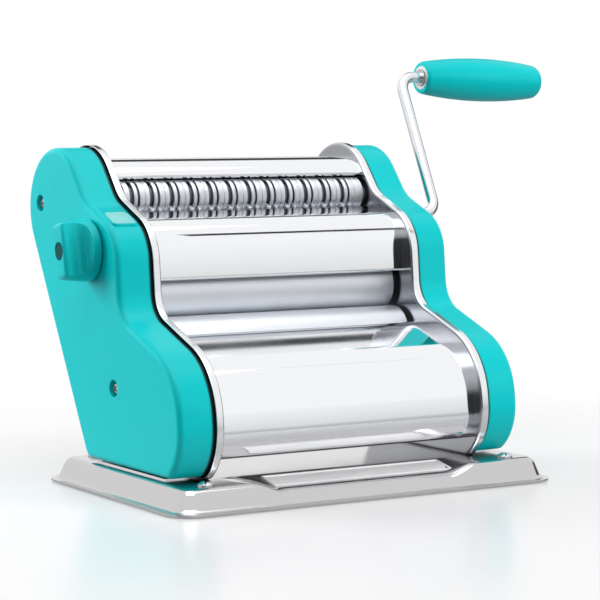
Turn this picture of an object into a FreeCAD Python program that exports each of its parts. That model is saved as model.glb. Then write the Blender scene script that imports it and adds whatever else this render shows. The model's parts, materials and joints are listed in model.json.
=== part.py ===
import FreeCAD, Part
import math
import os
import re

import Sketcher

# A hand-cranked pasta roller: two steel side plates on a pressed tray, a pair of smooth rollers with a
# dial for their gap, a pair of cutters above them, and one gear train under the right cover.
# Millimetres. X runs to the right (crank side), Y to the back, Z up, with the table at Z = 0.

SIZES = {
    # rollers and cutters
    "roller_length": 200, "roller_radius": 20, "roller_end_gap": 3, "roller_journal": 5,
    "roller_gap": 0.5, "roller_gap_travel": 3.2, "roller_slant": 60,
    "lower_roller_y": 28.5, "lower_roller_z": 98.5,
    "cutter_radius": 12.4, "cutter_groove_depth": 2.5, "cutter_journal": 4, "cutter_land": 4,
    "cutter_periods": 12, "first_groove": 3.6, "first_ring": 3, "second_groove": 2.4,
    "cutter_side_clearance": 0.15, "front_cutter_y": 83.6, "front_cutter_z": 199.8, "rear_cutter_angle": 15,
    # side plates: corners of the outline from the crown down the front, along the sole and up the back
    "plate_sheet": 1.5, "flange_sheet": 1.0, "flange_width": 6, "foot_width": 29,
    "crown_z": 238.3, "crown_front_y": 93, "crown_front_radius": 44,
    "neck_y": 62.5, "neck_z": 201.5, "neck_radius": 30,
    "shoulder_y": 12.5, "shoulder_z": 180.5, "shoulder_radius": 35,
    "waist_y": 7.7, "waist_z": 124, "waist_radius": 22,
    "belly_y": -74, "belly_z": 93.5, "belly_radius": 53,
    "toe_y": -80.5, "toe_z": 33.5, "toe_radius": 46,
    "sole_front_y": -60, "sole_front_radius": 12, "heel_y": 65.5, "heel_radius": 12,
    "crown_back_y": 192.3, "crown_back_radius": 46,
    # plastic side covers
    "cover_gap": 1.2, "cover_wall": 2.0, "cover_edge_radius": 4.5, "cover_inner_clearance": 5.8,
    "screw_cup_radius": 6, "screw_cup_wall": 2, "screw_cup_depth": 6,
    "screw_head_radius": 5, "screw_head_height": 2.5, "screw_shank_radius": 2, "screw_length": 12,
    "upper_screw_y": 136, "upper_screw_z": 196, "left_screw_y": 20, "left_screw_z": 72,
    "right_screw_y": 0, "right_screw_z": 55, "standoff_radius": 5, "standoff_rivet_radius": 3,
    "shaft_hole_clearance": 1,
    # tray
    "base_length": 304, "base_depth": 208, "base_corner_radius": 14, "base_lip": 5, "base_slope": 7,
    "base_height": 17, "base_sheet": 1.2, "base_edge_radius": 4, "lip_clearance": 1,
    "facet_half_width": 88, "facet_back_y": -58, "facet_drop": 8,
    "foot_x": 120, "foot_y": 82, "rubber_radius": 7.5, "rubber_top_radius": 5, "rubber_collar": 4.5,
    "foot_screw_radius": 5.5, "foot_screw_height": 3, "foot_screw_shank": 2, "foot_screw_length": 12,
    "base_bolt_x": 118, "base_bolt_y": 40, "base_bolt_radius": 2.5, "base_bolt_head": 4.5,
    "base_bolt_head_height": 3, "base_bolt_rise": 0.5,
    # chromed sheet covers
    "cover_sheet": 1, "cover_lip": 4.5,
    "hood_z": 227.6, "hood_front_y": 77.5, "hood_front_z": 215.6, "hood_bend_y": 85, "hood_bend_radius": 22,
    "hood_back_y": 143,
    "upper_cover_top_y": 64, "upper_cover_top_z": 190.6, "upper_cover_bend_y": 25.5,
    "upper_cover_bend_z": 184, "upper_cover_bend_radius": 22, "upper_cover_low_y": 22.5,
    "upper_cover_low_z": 144.7,
    "lower_cover_top_y": 9.2, "lower_cover_top_z": 107.8, "lower_cover_bend_y": -6,
    "lower_cover_bend_z": 109, "lower_cover_bend_radius": 25, "lower_cover_inset": 9.5,
    "lower_cover_low_z": 30,
    "slide_front_y": 72, "slide_front_z": 176, "slide_back_y": 118, "slide_back_z": 144,
    "scraper_gap": 0.4, "scraper_reach": 18, "scraper_tilt": 12, "scraper_flange": 8,
    # combs
    "comb_clearance": 0.6, "comb_side_clearance": 0.4, "comb_tine_depth": 5.4, "comb_start": 212,
    "comb_sweep": 50, "comb_bar_height": 3, "comb_bar_depth": 15, "comb_bar_drop": 13.4, "comb_bar_shift": 7,
    # tie rods
    "tie_radius": 5, "tie_thread_radius": 4, "nut_across": 13, "nut_height": 5, "thread_end": 1,
    "front_tie_y": -40, "front_tie_z": 55, "rear_tie_y": 42, "rear_tie_z": 42,
    "slide_tie_y": 106, "slide_tie_z": 138, "hood_tie_y": 136, "hood_tie_z": 210,
    # bushes
    "running_clearance": 0.05, "bush_wall": 2, "bush_inset": 2.5, "bush_outset": 4.5,
    "bush_flange": 2.5, "bush_flange_height": 1.5, "shaft_end": 1,
    # gear train: one module throughout, and long teeth at the rollers, which move apart
    "gear_module": 1.9, "gear_addendum": 1.4, "gear_dedendum": 2.2, "tooth_half": 1.12, "tooth_tip_half": 0.5,
    "gear_width": 6, "gear_layer_gap": 1.5, "pinion_teeth": 12, "idler_slack": 1.02,
    "lower_idler_teeth": 24, "roller_drive_teeth": 27, "roller_teeth": 16,
    "roller_tooth_addendum": 3, "roller_tooth_dedendum": 2.9, "roller_tooth_half": 1.5,
    "roller_tooth_tip_half": 0.6, "tooth_sink": 1,
    "drive_angle": 225, "lower_idler_angle": 20, "stud_radius": 4, "stud_collar": 6.5, "clip_radius": 5.4,
    "clip_width": 0.9, "axial_clearance": 0.25,
    # crank
    "drive_shaft_radius": 6, "drive_collar_radius": 8.5, "drive_collar_width": 4, "drive_shaft_proud": 3,
    "crank_radius": 4.25, "crank_socket": 20, "crank_plane": 164, "crank_arm": 117, "crank_lean": 25.7,
    "crank_bend": 12, "grip_droop": 1.5, "grip_start": 8, "grip_length": 112, "grip_end_radius": 12.5,
    "grip_belly_radius": 17, "grip_belly": 0.45, "grip_rounding": 7,
    "grip_near_rounding": 2.5, "grip_bore_depth": 88,
    "ferrule_length": 3, "ferrule_radius": 9.4, "grip_clip_radius": 6.5, "grip_clip_width": 1.2,
    # gap dial
    "dial_y": 54, "dial_z": 165.3, "dial_shaft_radius": 3.5, "dial_range": 240,
    "slide_clearance": 0.1, "slider_thickness": 4, "slider_half": 10, "tongue_half": 9.5,
    "slider_pin_radius": 1.5, "slider_pin_edge": 2.4, "scroll_radius": 12.2, "scroll_thickness": 4,
    "scroll_start_radius": 10, "scroll_clearance": 0.6, "slot_clearance": 0.15, "slot_spare": 6,
    "drum_radius": 21.5, "drum_width": 12, "drum_wall": 2, "drum_hub": 6.5, "drum_gap": 3,
    "window_shift": 9.5, "window_radius": 6, "pad_half_width": 9.5, "pad_half_length": 10, "pad_corner": 4,
    "window_rise": 0.8, "lens_thickness": 2,
    "knob_gap": 1, "knob_radius": 21.5, "knob_rim": 4.5, "knob_top_radius": 19.5, "knob_height": 23,
    "knob_edge": 3, "knob_scoop_radius": 17, "knob_grip_half": 6, "knob_tilt": -12, "knob_bore_radius": 6.2,
    "knob_floor": 10, "knob_travel": 5, "dial_screw_radius": 2, "dial_screw_head": 5.6,
    "dial_screw_head_height": 2.4, "dial_screw_length": 17, "dial_shaft_out": 1,
    "spring_radius": 5.1, "spring_wire": 0.45, "spring_turns": 3, "spring_seat": 0.1,
}

V = FreeCAD.Vector
X_AXIS = V(1, 0, 0)
Y_AXIS = V(0, 1, 0)
FULL_TURN = 360
SAME_PLACE = 1e-4

doc = FreeCAD.newDocument("pasta_roller")
sheet = doc.addObject("Spreadsheet::Sheet", "sizes")
aliases = {}


def put(alias, number):
    """Write one value into the sheet under its own name."""
    row = len(aliases) + 1
    sheet.set(f"A{row}", alias)
    sheet.set(f"B{row}", str(number))
    sheet.setAlias(f"B{row}", alias)
    aliases[alias] = number


for alias, number in SIZES.items():
    put(alias, number)
doc.recompute()


def size(alias):
    """The sheet's number for a name."""
    return float(sheet.get(alias)) if alias in aliases else float(alias)


def derive(alias, number):
    """Add a value that follows from the driving sizes, for others to be bound to."""
    put(alias, number)
    sheet.recompute()
    return number


def tie(formula):
    """Turn the names in a formula into references to the sheet."""
    return re.sub(r"[a-z]\w+", lambda word: "sizes." + word.group(), str(formula))


def amount(formula):
    """The value of a formula of sheet names."""
    return float(sheet.evalExpression(tie(formula)))


def bind(item, attribute, formula):
    item.setExpression(attribute, tie(formula))


def polar(radius, angle):
    """Y and Z of a point at an angle from +Y towards +Z."""
    return radius * math.cos(math.radians(angle)), radius * math.sin(math.radians(angle))


# Stations along X, outward from the inside of a plate
derive("plate_inner", size("roller_length") / 2 + size("roller_end_gap"))
derive("plate_outer", size("plate_inner") + size("plate_sheet"))
derive("slider_start", size("plate_outer") + size("slide_clearance"))
derive("slider_end", size("slider_start") + size("slider_thickness"))
derive("scroll_start", size("slider_end") + size("scroll_clearance"))
derive("scroll_end", size("scroll_start") + size("scroll_thickness"))
derive("first_gear", size("scroll_end") + size("gear_layer_gap"))
derive("first_gear_end", size("first_gear") + size("gear_width"))
derive("second_gear", size("first_gear_end") + size("gear_layer_gap"))
derive("second_gear_end", size("second_gear") + size("gear_width"))
derive("cover_inner", size("second_gear_end") + size("cover_inner_clearance"))
derive("cover_outer", size("cover_inner") + size("cover_wall"))
derive("bush_start", size("plate_inner") - size("bush_inset"))
derive("bush_end", size("plate_outer") + size("bush_outset"))

# Axes in the side view
slant = size("roller_slant")
rest_distance = 2 * size("roller_radius") + size("roller_gap")
upper_y, upper_z = polar(rest_distance, slant)
derive("upper_roller_y", size("lower_roller_y") + upper_y)
derive("upper_roller_z", size("lower_roller_z") + upper_z)


def pitch(*teeth):
    """Centre distance of two gears, from their tooth counts."""
    return size("gear_module") * sum(size(count) for count in teeth) / 2


rear_y, rear_z = polar(pitch("pinion_teeth", "pinion_teeth"), size("rear_cutter_angle"))
derive("rear_cutter_y", size("front_cutter_y") + rear_y)
derive("rear_cutter_z", size("front_cutter_z") + rear_z)
drive_y, drive_z = polar(pitch("pinion_teeth", "pinion_teeth"), size("drive_angle"))
derive("drive_y", size("front_cutter_y") + drive_y)
derive("drive_z", size("front_cutter_z") + drive_z)
idler_y, idler_z = polar(pitch("lower_idler_teeth", "roller_drive_teeth"), size("lower_idler_angle"))
derive("lower_idler_y", size("lower_roller_y") + idler_y)
derive("lower_idler_z", size("lower_roller_z") + idler_z)
# The upper idler stands behind the line from the drive shaft to the lower idler, in mesh with both,
# and has just enough teeth to reach
run_y = size("lower_idler_y") - size("drive_y")
run_z = size("lower_idler_z") - size("drive_z")
run = math.hypot(run_y, run_z)
held_teeth = size("pinion_teeth") + size("lower_idler_teeth")
reach_teeth = 2 * run * size("idler_slack") / size("gear_module") - held_teeth
derive("upper_idler_teeth", math.ceil(reach_teeth / 2))
from_drive = pitch("pinion_teeth", "upper_idler_teeth")
from_idler = pitch("upper_idler_teeth", "lower_idler_teeth")
along = (from_drive ** 2 - from_idler ** 2 + run ** 2) / (2 * run)
aside = math.sqrt(from_drive ** 2 - along ** 2)
derive("upper_idler_y", size("drive_y") + (along * run_y - aside * run_z) / run)
derive("upper_idler_z", size("drive_z") + (along * run_z + aside * run_y) / run)


def centre(name):
    return size(name + "_y"), size(name + "_z")


def at(name):
    """Formulas for a body's place on one of the axes above."""
    return "0", name + "_y", name + "_z"


# Building blocks
nodes = []


def node(item, label):
    """Mark a finished solid, or group of solids, as one part of the machine."""
    item.Label = label
    nodes.append(item)
    return item


def new_body(name, place=("0", "0", "0"), axis=X_AXIS, angle=0):
    body = doc.addObject("PartDesign::Body", name)
    body.Placement = FreeCAD.Placement(V(), FreeCAD.Rotation(axis, angle))
    for letter, formula in zip("xyz", place):
        bind(body, "Placement.Base." + letter, formula)
    return body


def new_sketch(body, role, offset="0"):
    sketch = body.newObject("Sketcher::SketchObject", body.Name + "_sketch")
    plane = [item for item in body.Origin.OriginFeatures if item.Role == role][0]
    sketch.AttachmentSupport = (plane, "")
    sketch.MapMode = "FlatFace"
    bind(sketch, "AttachmentOffset.Base.z", offset)
    return sketch


def pin_point(sketch, edge, end, formulas):
    """Hold one end of an edge, or a centre, at bound distances from the origin."""
    for kind, formula in zip(("DistanceX", "DistanceY"), formulas):
        index = sketch.addConstraint(Sketcher.Constraint(kind, -1, 1, edge, end, amount(formula)))
        bind(sketch, f"Constraints[{index}]", formula)


def polygon(body, role, corners, offset="0"):
    """A closed sketch of straight lines through corners given as formulas."""
    sketch = new_sketch(body, role, offset)
    points = [V(amount(first), amount(second), 0) for first, second in corners]
    for start, end in zip(points, points[1:] + points[:1]):
        sketch.addGeometry(Part.LineSegment(start, end), False)
    for index in range(len(points)):
        following = (index + 1) % len(points)
        sketch.addConstraint(Sketcher.Constraint("Coincident", index, 2, following, 1))
    for index, corner in enumerate(corners):
        pin_point(sketch, index, 1, corner)
    return sketch


def circle(sketch, radius, place=("0", "0")):
    centre_point = V(amount(place[0]), amount(place[1]), 0)
    index = sketch.addGeometry(Part.Circle(centre_point, V(0, 0, 1), amount(radius)), False)
    pin_point(sketch, index, 3, place)
    bound = sketch.addConstraint(Sketcher.Constraint("Radius", index, amount(radius)))
    bind(sketch, f"Constraints[{bound}]", radius)


def rounded_rectangle(sketch, half_width, half_depth, radius):
    """Four lines joined by four corner arcs about the sketch's origin."""
    reach = (amount(half_width), amount(half_depth))
    rounding = amount(radius)
    signs = ((1, 1), (-1, 1), (-1, -1), (1, -1))
    arcs = []
    for step, (across, up) in enumerate(signs):
        middle = V(across * (reach[0] - rounding), up * (reach[1] - rounding), 0)
        start = math.radians(90 * step)
        round_corner = Part.ArcOfCircle(Part.Circle(middle, V(0, 0, 1), rounding), start, start + math.pi / 2)
        arcs.append(sketch.addGeometry(round_corner, False))
    lines = []
    for first, second in zip(arcs, arcs[1:] + arcs[:1]):
        line = Part.LineSegment(sketch.getPoint(first, 2), sketch.getPoint(second, 1))
        lines.append(sketch.addGeometry(line, False))
    for arc, line, following in zip(arcs, lines, arcs[1:] + arcs[:1]):
        sketch.addConstraint(Sketcher.Constraint("Tangent", arc, 2, line, 1))
        sketch.addConstraint(Sketcher.Constraint("Tangent", line, 2, following, 1))
    for arc, (across, up) in zip(arcs, signs):
        pin_point(sketch, arc, 3, (f"{across} * ({half_width} - ({radius}))",
                                   f"{up} * ({half_depth} - ({radius}))"))
    bound = sketch.addConstraint(Sketcher.Constraint("Radius", arcs[0], rounding))
    bind(sketch, f"Constraints[{bound}]", radius)


def turned(name, profile, place=("0", "0", "0"), axis=X_AXIS, angle=0):
    """A piece turned on a lathe about its own X axis: corners are (x, radius)."""
    body = new_body(name, place, axis, angle)
    revolve = body.newObject("PartDesign::Revolution", name + "_turning")
    revolve.Profile = polygon(body, "XY_Plane", profile)
    revolve.ReferenceAxis = (revolve.Profile[0], ["H_Axis"])
    revolve.Angle = FULL_TURN
    return body


def upright(name, profile, place):
    """A turned piece whose axis stands up along Z."""
    return turned(name, profile, place, Y_AXIS, -90)


def mirrored(item):
    """The same piece on the other side of the machine."""
    copy = doc.addObject("Part::Mirroring", item.Name + "_mirrored")
    copy.Source = item
    copy.Normal = X_AXIS
    return copy


def group(label, items):
    """Several alike solids kept as one part."""
    compound = doc.addObject("Part::Compound", label)
    compound.Links = items
    return node(compound, label)


def rod(name, radius, start, length, y, z):
    """A plain cylinder along X."""
    cylinder = doc.addObject("Part::Cylinder", name)
    cylinder.Placement = FreeCAD.Placement(V(), FreeCAD.Rotation(V(0, 0, 1), X_AXIS))
    bind(cylinder, "Radius", radius)
    bind(cylinder, "Height", length)
    for letter, formula in zip("xyz", (start, y, z)):
        bind(cylinder, "Placement.Base." + letter, formula)
    return cylinder


def prism(name, face, start, length):
    """A side-view face drawn out along X."""
    profile = doc.addObject("Part::Feature", name + "_profile")
    profile.Shape = face
    bind(profile, "Placement.Base.x", start)
    solid = doc.addObject("Part::Extrusion", name)
    solid.Base = profile
    solid.DirMode = "Custom"
    solid.Dir = X_AXIS
    solid.Solid = True
    bind(solid, "LengthFwd", length)
    return solid


def fuse(name, items):
    joined = doc.addObject("Part::MultiFuse", name)
    joined.Shapes = items
    joined.Refine = True
    return joined


def cut(name, base, tools):
    remainder = doc.addObject("Part::Cut", name)
    remainder.Base = base
    remainder.Tool = tools[0] if len(tools) == 1 else fuse(name + "_tools", tools)
    return remainder


def rounded_edges(name, solid, radius, wanted):
    """Round the edges of a solid that a test picks out."""
    doc.recompute()
    picked = [index for index, edge in enumerate(solid.Shape.Edges, 1) if wanted(edge)]
    fillet = doc.addObject("Part::Fillet", name)
    fillet.Base = solid
    fillet.Edges = [(index, radius, radius) for index in picked]
    return fillet


def on_plane(letter, level):
    """A test for edges that lie in one plane square to an axis."""
    def test(edge):
        box = edge.BoundBox
        low = getattr(box, letter + "Min")
        high = getattr(box, letter + "Max")
        return abs(low - level) < SAME_PLACE and high - low < SAME_PLACE
    return test


# Side-view paths: corners are (y, z, rounding radius)
def shifted(corners, distance, closed):
    """Move every straight run of a path to its left, and its roundings with it."""
    count = len(corners)
    points = [V(0, y, z) for y, z, radius in corners]
    runs = []
    for index in range(count if closed else count - 1):
        start = points[index]
        way = (points[(index + 1) % count] - start).normalize()
        runs.append((start + V(0, -way.z, way.y) * distance, way))
    result = []
    for index, (y, z, radius) in enumerate(corners):
        if not closed and index == 0:
            result.append((runs[0][0].y, runs[0][0].z, radius))
            continue
        if not closed and index == count - 1:
            last = points[index] + V(0, -runs[-1][1].z, runs[-1][1].y) * distance
            result.append((last.y, last.z, radius))
            continue
        start, way = runs[index - 1]
        other, onward = runs[index]
        turn = way.y * onward.z - way.z * onward.y
        gap = other - start
        reach = (gap.y * onward.z - gap.z * onward.y) / turn
        meet = start + way * reach
        result.append((meet.y, meet.z, max(radius - math.copysign(distance, turn), 0) if radius else 0))
    return result


def rounded_path(corners, closed):
    """Edges through the corners, each rounded as far as its two runs leave room."""
    count = len(corners)
    points = [V(0, y, z) for y, z, radius in corners]
    halves = [0] * count
    reaches = [0] * count
    for index in range(count) if closed else range(1, count - 1):
        back = points[index - 1] - points[index]
        onward = points[(index + 1) % count] - points[index]
        halves[index] = back.getAngle(onward) / 2
        reaches[index] = corners[index][2] / math.tan(halves[index])
    fits = [1] * count
    for index in range(count if closed else count - 1):
        following = (index + 1) % count
        wanted = reaches[index] + reaches[following]
        room = (points[following] - points[index]).Length
        if wanted > room:
            fits[index] = min(fits[index], room / wanted)
            fits[following] = min(fits[following], room / wanted)
    stops = []
    for index in range(count):
        reach = reaches[index] * fits[index]
        back = (points[index - 1] - points[index]).normalize()
        onward = (points[(index + 1) % count] - points[index]).normalize()
        if reach == 0:
            stops.append((points[index], None, points[index]))
            continue
        inward = (back + onward).normalize()
        radius = reach * math.tan(halves[index])
        middle = points[index] + inward * (radius / math.sin(halves[index]) - radius)
        stops.append((points[index] + back * reach, middle, points[index] + onward * reach))
    edges = []
    for index, (entry, middle, leave) in enumerate(stops):
        if middle is not None:
            edges.append(Part.Arc(entry, middle, leave).toShape())
        if closed or index < count - 1:
            target = stops[(index + 1) % count][0]
            if (target - leave).Length > SAME_PLACE:
                edges.append(Part.LineSegment(leave, target).toShape())
    return edges


def closed_face(corners):
    return Part.Face(Part.Wire(rounded_path(corners, True)))


def sheet_face(corners, thickness):
    """The section of a bent sheet whose outer side follows the corners, with the inside on the left."""
    outer = rounded_path(corners, False)
    inner = rounded_path(shifted(corners, thickness, False), False)
    first = Part.LineSegment(inner[0].Vertexes[0].Point, outer[0].Vertexes[0].Point).toShape()
    last = Part.LineSegment(outer[-1].Vertexes[-1].Point, inner[-1].Vertexes[-1].Point).toShape()
    return Part.Face(Part.Wire(Part.__sortEdges__(outer + [last] + inner + [first])))


OUTLINE = [
    (size("crown_front_y"), size("crown_z"), size("crown_front_radius")),
    (size("neck_y"), size("neck_z"), size("neck_radius")),
    (size("shoulder_y"), size("shoulder_z"), size("shoulder_radius")),
    (size("waist_y"), size("waist_z"), size("waist_radius")),
    (size("belly_y"), size("belly_z"), size("belly_radius")),
    (size("toe_y"), size("toe_z"), size("toe_radius")),
    (size("sole_front_y"), size("base_height"), size("sole_front_radius")),
    (size("heel_y"), size("base_height"), size("heel_radius")),
    (size("crown_back_y"), size("crown_z"), size("crown_back_radius")),
]

# Pressed tray: a tapering shell with a lip all round and a sloped facet at the front
derive("wall_half_length", size("base_length") / 2 - size("base_lip"))
derive("wall_half_depth", size("base_depth") / 2 - size("base_lip"))
wall_height = size("base_height") - size("lip_clearance")
derive("wall_taper", math.degrees(math.atan2(size("base_slope"), wall_height)))


def tray_form(name, shrink, high, rounding):
    """A block that narrows upwards, with its top edge rounded."""
    body = new_body(name)
    sketch = new_sketch(body, "XY_Plane", "lip_clearance")
    rounded_rectangle(sketch, f"wall_half_length - {shrink}", f"wall_half_depth - {shrink}",
                      f"base_corner_radius - {shrink}")
    pad = body.newObject("PartDesign::Pad", name + "_pad")
    pad.Profile = sketch
    bind(pad, "Length", f"{high} - lip_clearance")
    bind(pad, "TaperAngle", "-wall_taper")
    doc.recompute()
    on_top = on_plane("Z", amount(high))
    fillet = body.newObject("PartDesign::Fillet", name + "_edge")
    fillet.Base = (pad, [f"Edge{i}" for i, edge in enumerate(pad.Shape.Edges, 1) if on_top(edge)])
    bind(fillet, "Radius", rounding)
    return body


def facet(name, lower):
    """What is pressed down at the tray's front, for the outside or one sheet lower for the inside."""
    top = size("base_height") - lower
    front = -size("base_depth")
    run = size("wall_half_depth") + size("facet_back_y")
    fall = size("facet_drop") * (front - size("facet_back_y")) / run
    corners = [(size("facet_back_y"), top, 0), (front, top + fall, 0), (front, top + size("base_height"), 0),
               (size("facet_back_y"), top + size("base_height"), 0)]
    half = f"(facet_half_width + {lower})"
    return prism(name, closed_face(corners[::-1]), f"-{half}", f"2 * {half}")


lip = new_body("tray_lip")
lip_sketch = new_sketch(lip, "XY_Plane", "lip_clearance")
rounded_rectangle(lip_sketch, "base_length / 2", "base_depth / 2", "base_corner_radius + base_lip")
lip_pad = lip.newObject("PartDesign::Pad", "tray_lip_pad")
lip_pad.Profile = lip_sketch
bind(lip_pad, "Length", "base_sheet")
outer_form = cut("tray_outer_faceted",
                 tray_form("tray_outer", "0", "base_height", "base_edge_radius"),
                 [facet("tray_outer_facet", 0)])
inner_form = cut("tray_inner_faceted",
                 tray_form("tray_inner", "base_sheet", "base_height - base_sheet",
                           "base_edge_radius - base_sheet"),
                 [facet("tray_inner_facet", size("base_sheet"))])


def four(name, profile, x, y, z):
    """Four upright pieces, one near each corner."""
    pieces = []
    for across in ("", "-"):
        for along_y in ("", "-"):
            pieces.append(upright(f"{name}_{len(pieces) + 1}", profile, (across + x, along_y + y, z)))
    return pieces


tray_holes = four("foot_hole", [("-base_height", "0"), ("-base_height", "foot_screw_shank"),
                                ("base_height", "foot_screw_shank"), ("base_height", "0")],
                  "foot_x", "foot_y", "base_height")
tray_holes += four("bolt_hole", [("-base_height", "0"), ("-base_height", "base_bolt_radius"),
                                 ("base_height", "base_bolt_radius"), ("base_height", "0")],
                   "base_bolt_x", "base_bolt_y", "base_height")
node(cut("base_tray", fuse("tray_solid", [lip, outer_form]), [inner_form] + tray_holes), "base_tray")

group("rubber_feet", four("rubber_foot", [
    ("0", "0"), ("0", "rubber_radius"), ("rubber_collar", "rubber_radius"),
    ("base_height - base_sheet", "rubber_top_radius"), ("base_height - base_sheet", "foot_screw_shank"),
    ("rubber_collar", "foot_screw_shank"), ("rubber_collar", "0")],
    "foot_x", "foot_y", "0"))
group("foot_screws", four("foot_screw", [
    ("-foot_screw_length", "0"), ("-foot_screw_length", "foot_screw_shank"), ("0", "foot_screw_shank"),
    ("0", "foot_screw_radius"), ("foot_screw_height / 3", "foot_screw_radius"),
    ("foot_screw_height", "foot_screw_radius / 2"), ("foot_screw_height", "0")],
    "foot_x", "foot_y", "base_height"))
group("base_bolts", four("base_bolt", [
    ("-base_sheet - base_bolt_head_height", "0"), ("-base_sheet - base_bolt_head_height", "base_bolt_head"),
    ("-base_sheet", "base_bolt_head"), ("-base_sheet", "base_bolt_radius"),
    ("flange_sheet + base_bolt_rise", "base_bolt_radius"), ("flange_sheet + base_bolt_rise", "0")],
    "base_bolt_x", "base_bolt_y", "base_height"))

# Bushes: outer radius of each, and the holes that take them
for shaft in ("roller_journal", "cutter_journal", "dial_shaft_radius"):
    derive(shaft + "_bush", size(shaft) + size("running_clearance") + size("bush_wall"))


def bush(name, shaft, place, start="bush_start", flange_inside=False, end="bush_end"):
    """A flanged bush pressed into the right plate, with a running bore."""
    bore = shaft + " + running_clearance"
    outer = shaft + "_bush"
    brim = outer + " + bush_flange"
    if flange_inside:
        profile = [(start, bore), (start, brim), ("plate_inner", brim), ("plate_inner", outer),
                   ("plate_outer", outer), ("plate_outer", bore)]
    else:
        profile = [(start, bore), (start, outer), ("plate_outer", outer), ("plate_outer", brim),
                   ("plate_outer + bush_flange_height", brim), ("plate_outer + bush_flange_height", outer),
                   (end, outer), (end, bore)]
    return turned(name, profile, place)


def pair(label, item):
    return group(label, [item, mirrored(item)])


pair("lower_roller_bushes", bush("lower_roller_bush", "roller_journal", at("lower_roller")))
front_bush = bush("front_cutter_bush", "cutter_journal", at("front_cutter"))
rear_bush = bush("rear_cutter_bush", "cutter_journal", at("rear_cutter"))
group("cutter_bushes", [front_bush, mirrored(front_bush), rear_bush, mirrored(rear_bush)])
pair("dial_bushes", bush("dial_bush", "dial_shaft_radius", at("dial"), flange_inside=True))
node(bush("drive_shaft_bush", "roller_journal", at("drive"), "plate_inner"), "drive_shaft_bush")

# Side plates: a web, a turned-out flange along the outline and a wide foot on the tray
unit_y, unit_z = polar(1, slant)


def carriage_point(along_slide, across):
    """A side-view point given along the roller slide and across it, from the upper roller's axis."""
    return (size("upper_roller_y") + along_slide * unit_y - across * unit_z,
            size("upper_roller_z") + along_slide * unit_z + across * unit_y)


def carriage_face(low, high, left, right, rounding=0):
    corners = ((low, left), (high, left), (high, right), (low, right))
    return closed_face([carriage_point(*corner) + (rounding,) for corner in corners[::-1]])


TIES = ("front_tie", "rear_tie", "slide_tie", "hood_tie")


def plate(label, start, flange_start, foot_start, hole_start, extra):
    web = prism(label + "_web", closed_face(OUTLINE), start, "plate_sheet")
    rim_face = closed_face(OUTLINE).cut(closed_face(shifted(OUTLINE, size("flange_sheet"), True)))
    rim = prism(label + "_rim", rim_face, flange_start, "flange_width")
    foot = doc.addObject("Part::Box", label + "_foot")
    for side, formula in (("Length", "foot_width"),
                          ("Width", "heel_y - sole_front_y - heel_radius - sole_front_radius"),
                          ("Height", "flange_sheet"), ("Placement.Base.x", foot_start),
                          ("Placement.Base.y", "sole_front_y + sole_front_radius"),
                          ("Placement.Base.z", "base_height")):
        bind(foot, side, formula)
    holes = []
    for name, radius in [("lower_roller", "roller_journal_bush"), ("front_cutter", "cutter_journal_bush"),
                         ("rear_cutter", "cutter_journal_bush"), ("dial", "dial_shaft_radius_bush"),
                         ("upper_screw", "standoff_rivet_radius")] + extra:
        holes.append(rod(f"{label}_{name}_hole", radius, hole_start, "3 * plate_sheet",
                         name + "_y", name + "_z"))
    for name in TIES:
        holes.append(rod(f"{label}_{name}_hole", "tie_thread_radius", hole_start, "3 * plate_sheet",
                         name + "_y", name + "_z"))
    room = size("tongue_half") + size("slide_clearance")
    holes.append(prism(label + "_slot", carriage_face(-room, room + size("roller_gap_travel"), room, -room),
                       hole_start, "3 * plate_sheet"))
    bolt_x = "base_bolt_x" if label == "right_plate" else "-base_bolt_x"
    for bolt, along_y in enumerate(("", "-")):
        holes.append(upright(f"{label}_bolt_hole_{bolt}", [
            ("-flange_sheet", "0"), ("-flange_sheet", "base_bolt_radius"),
            ("3 * flange_sheet", "base_bolt_radius"), ("3 * flange_sheet", "0")],
            (bolt_x, along_y + "base_bolt_y", "base_height")))
    node(cut(label, fuse(label + "_solid", [web, rim, foot]), holes), label)


plate("right_plate", "plate_inner", "plate_inner", "plate_inner", "plate_inner - plate_sheet",
      [("drive", "roller_journal_bush"), ("upper_idler", "stud_radius"), ("lower_idler", "stud_radius"),
       ("right_screw", "standoff_rivet_radius")])
plate("left_plate", "-plate_outer", "-plate_inner - flange_width", "-plate_inner - foot_width",
      "-plate_outer - plate_sheet", [("left_screw", "standoff_rivet_radius")])

# Tie rods with threaded ends and nuts
derive("tie_end", size("plate_outer") + size("nut_height") + size("thread_end"))
derive("nut_corner", size("nut_across") / math.sqrt(3))
group("tie_rods", [turned(name, [
    ("-tie_end", "0"), ("-tie_end", "tie_thread_radius"), ("-plate_inner", "tie_thread_radius"),
    ("-plate_inner", "tie_radius"), ("plate_inner", "tie_radius"), ("plate_inner", "tie_thread_radius"),
    ("tie_end", "tie_thread_radius"), ("tie_end", "0")], at(name)) for name in TIES])
nuts = []
for name in TIES:
    hexagon = doc.addObject("Part::Prism", name + "_hexagon")
    hexagon.Placement = FreeCAD.Placement(V(), FreeCAD.Rotation(V(0, 0, 1), X_AXIS))
    for side, formula in (("Circumradius", "nut_corner"), ("Height", "nut_height"),
                          ("Placement.Base.x", "plate_outer"), ("Placement.Base.y", name + "_y"),
                          ("Placement.Base.z", name + "_z")):
        bind(hexagon, side, formula)
    nut_bore = rod(name + "_nut_bore", "tie_thread_radius", "plate_outer", "nut_height",
                   name + "_y", name + "_z")
    nut = cut(name + "_nut", hexagon, [nut_bore])
    nuts += [nut, mirrored(nut)]
group("tie_nuts", nuts)

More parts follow.
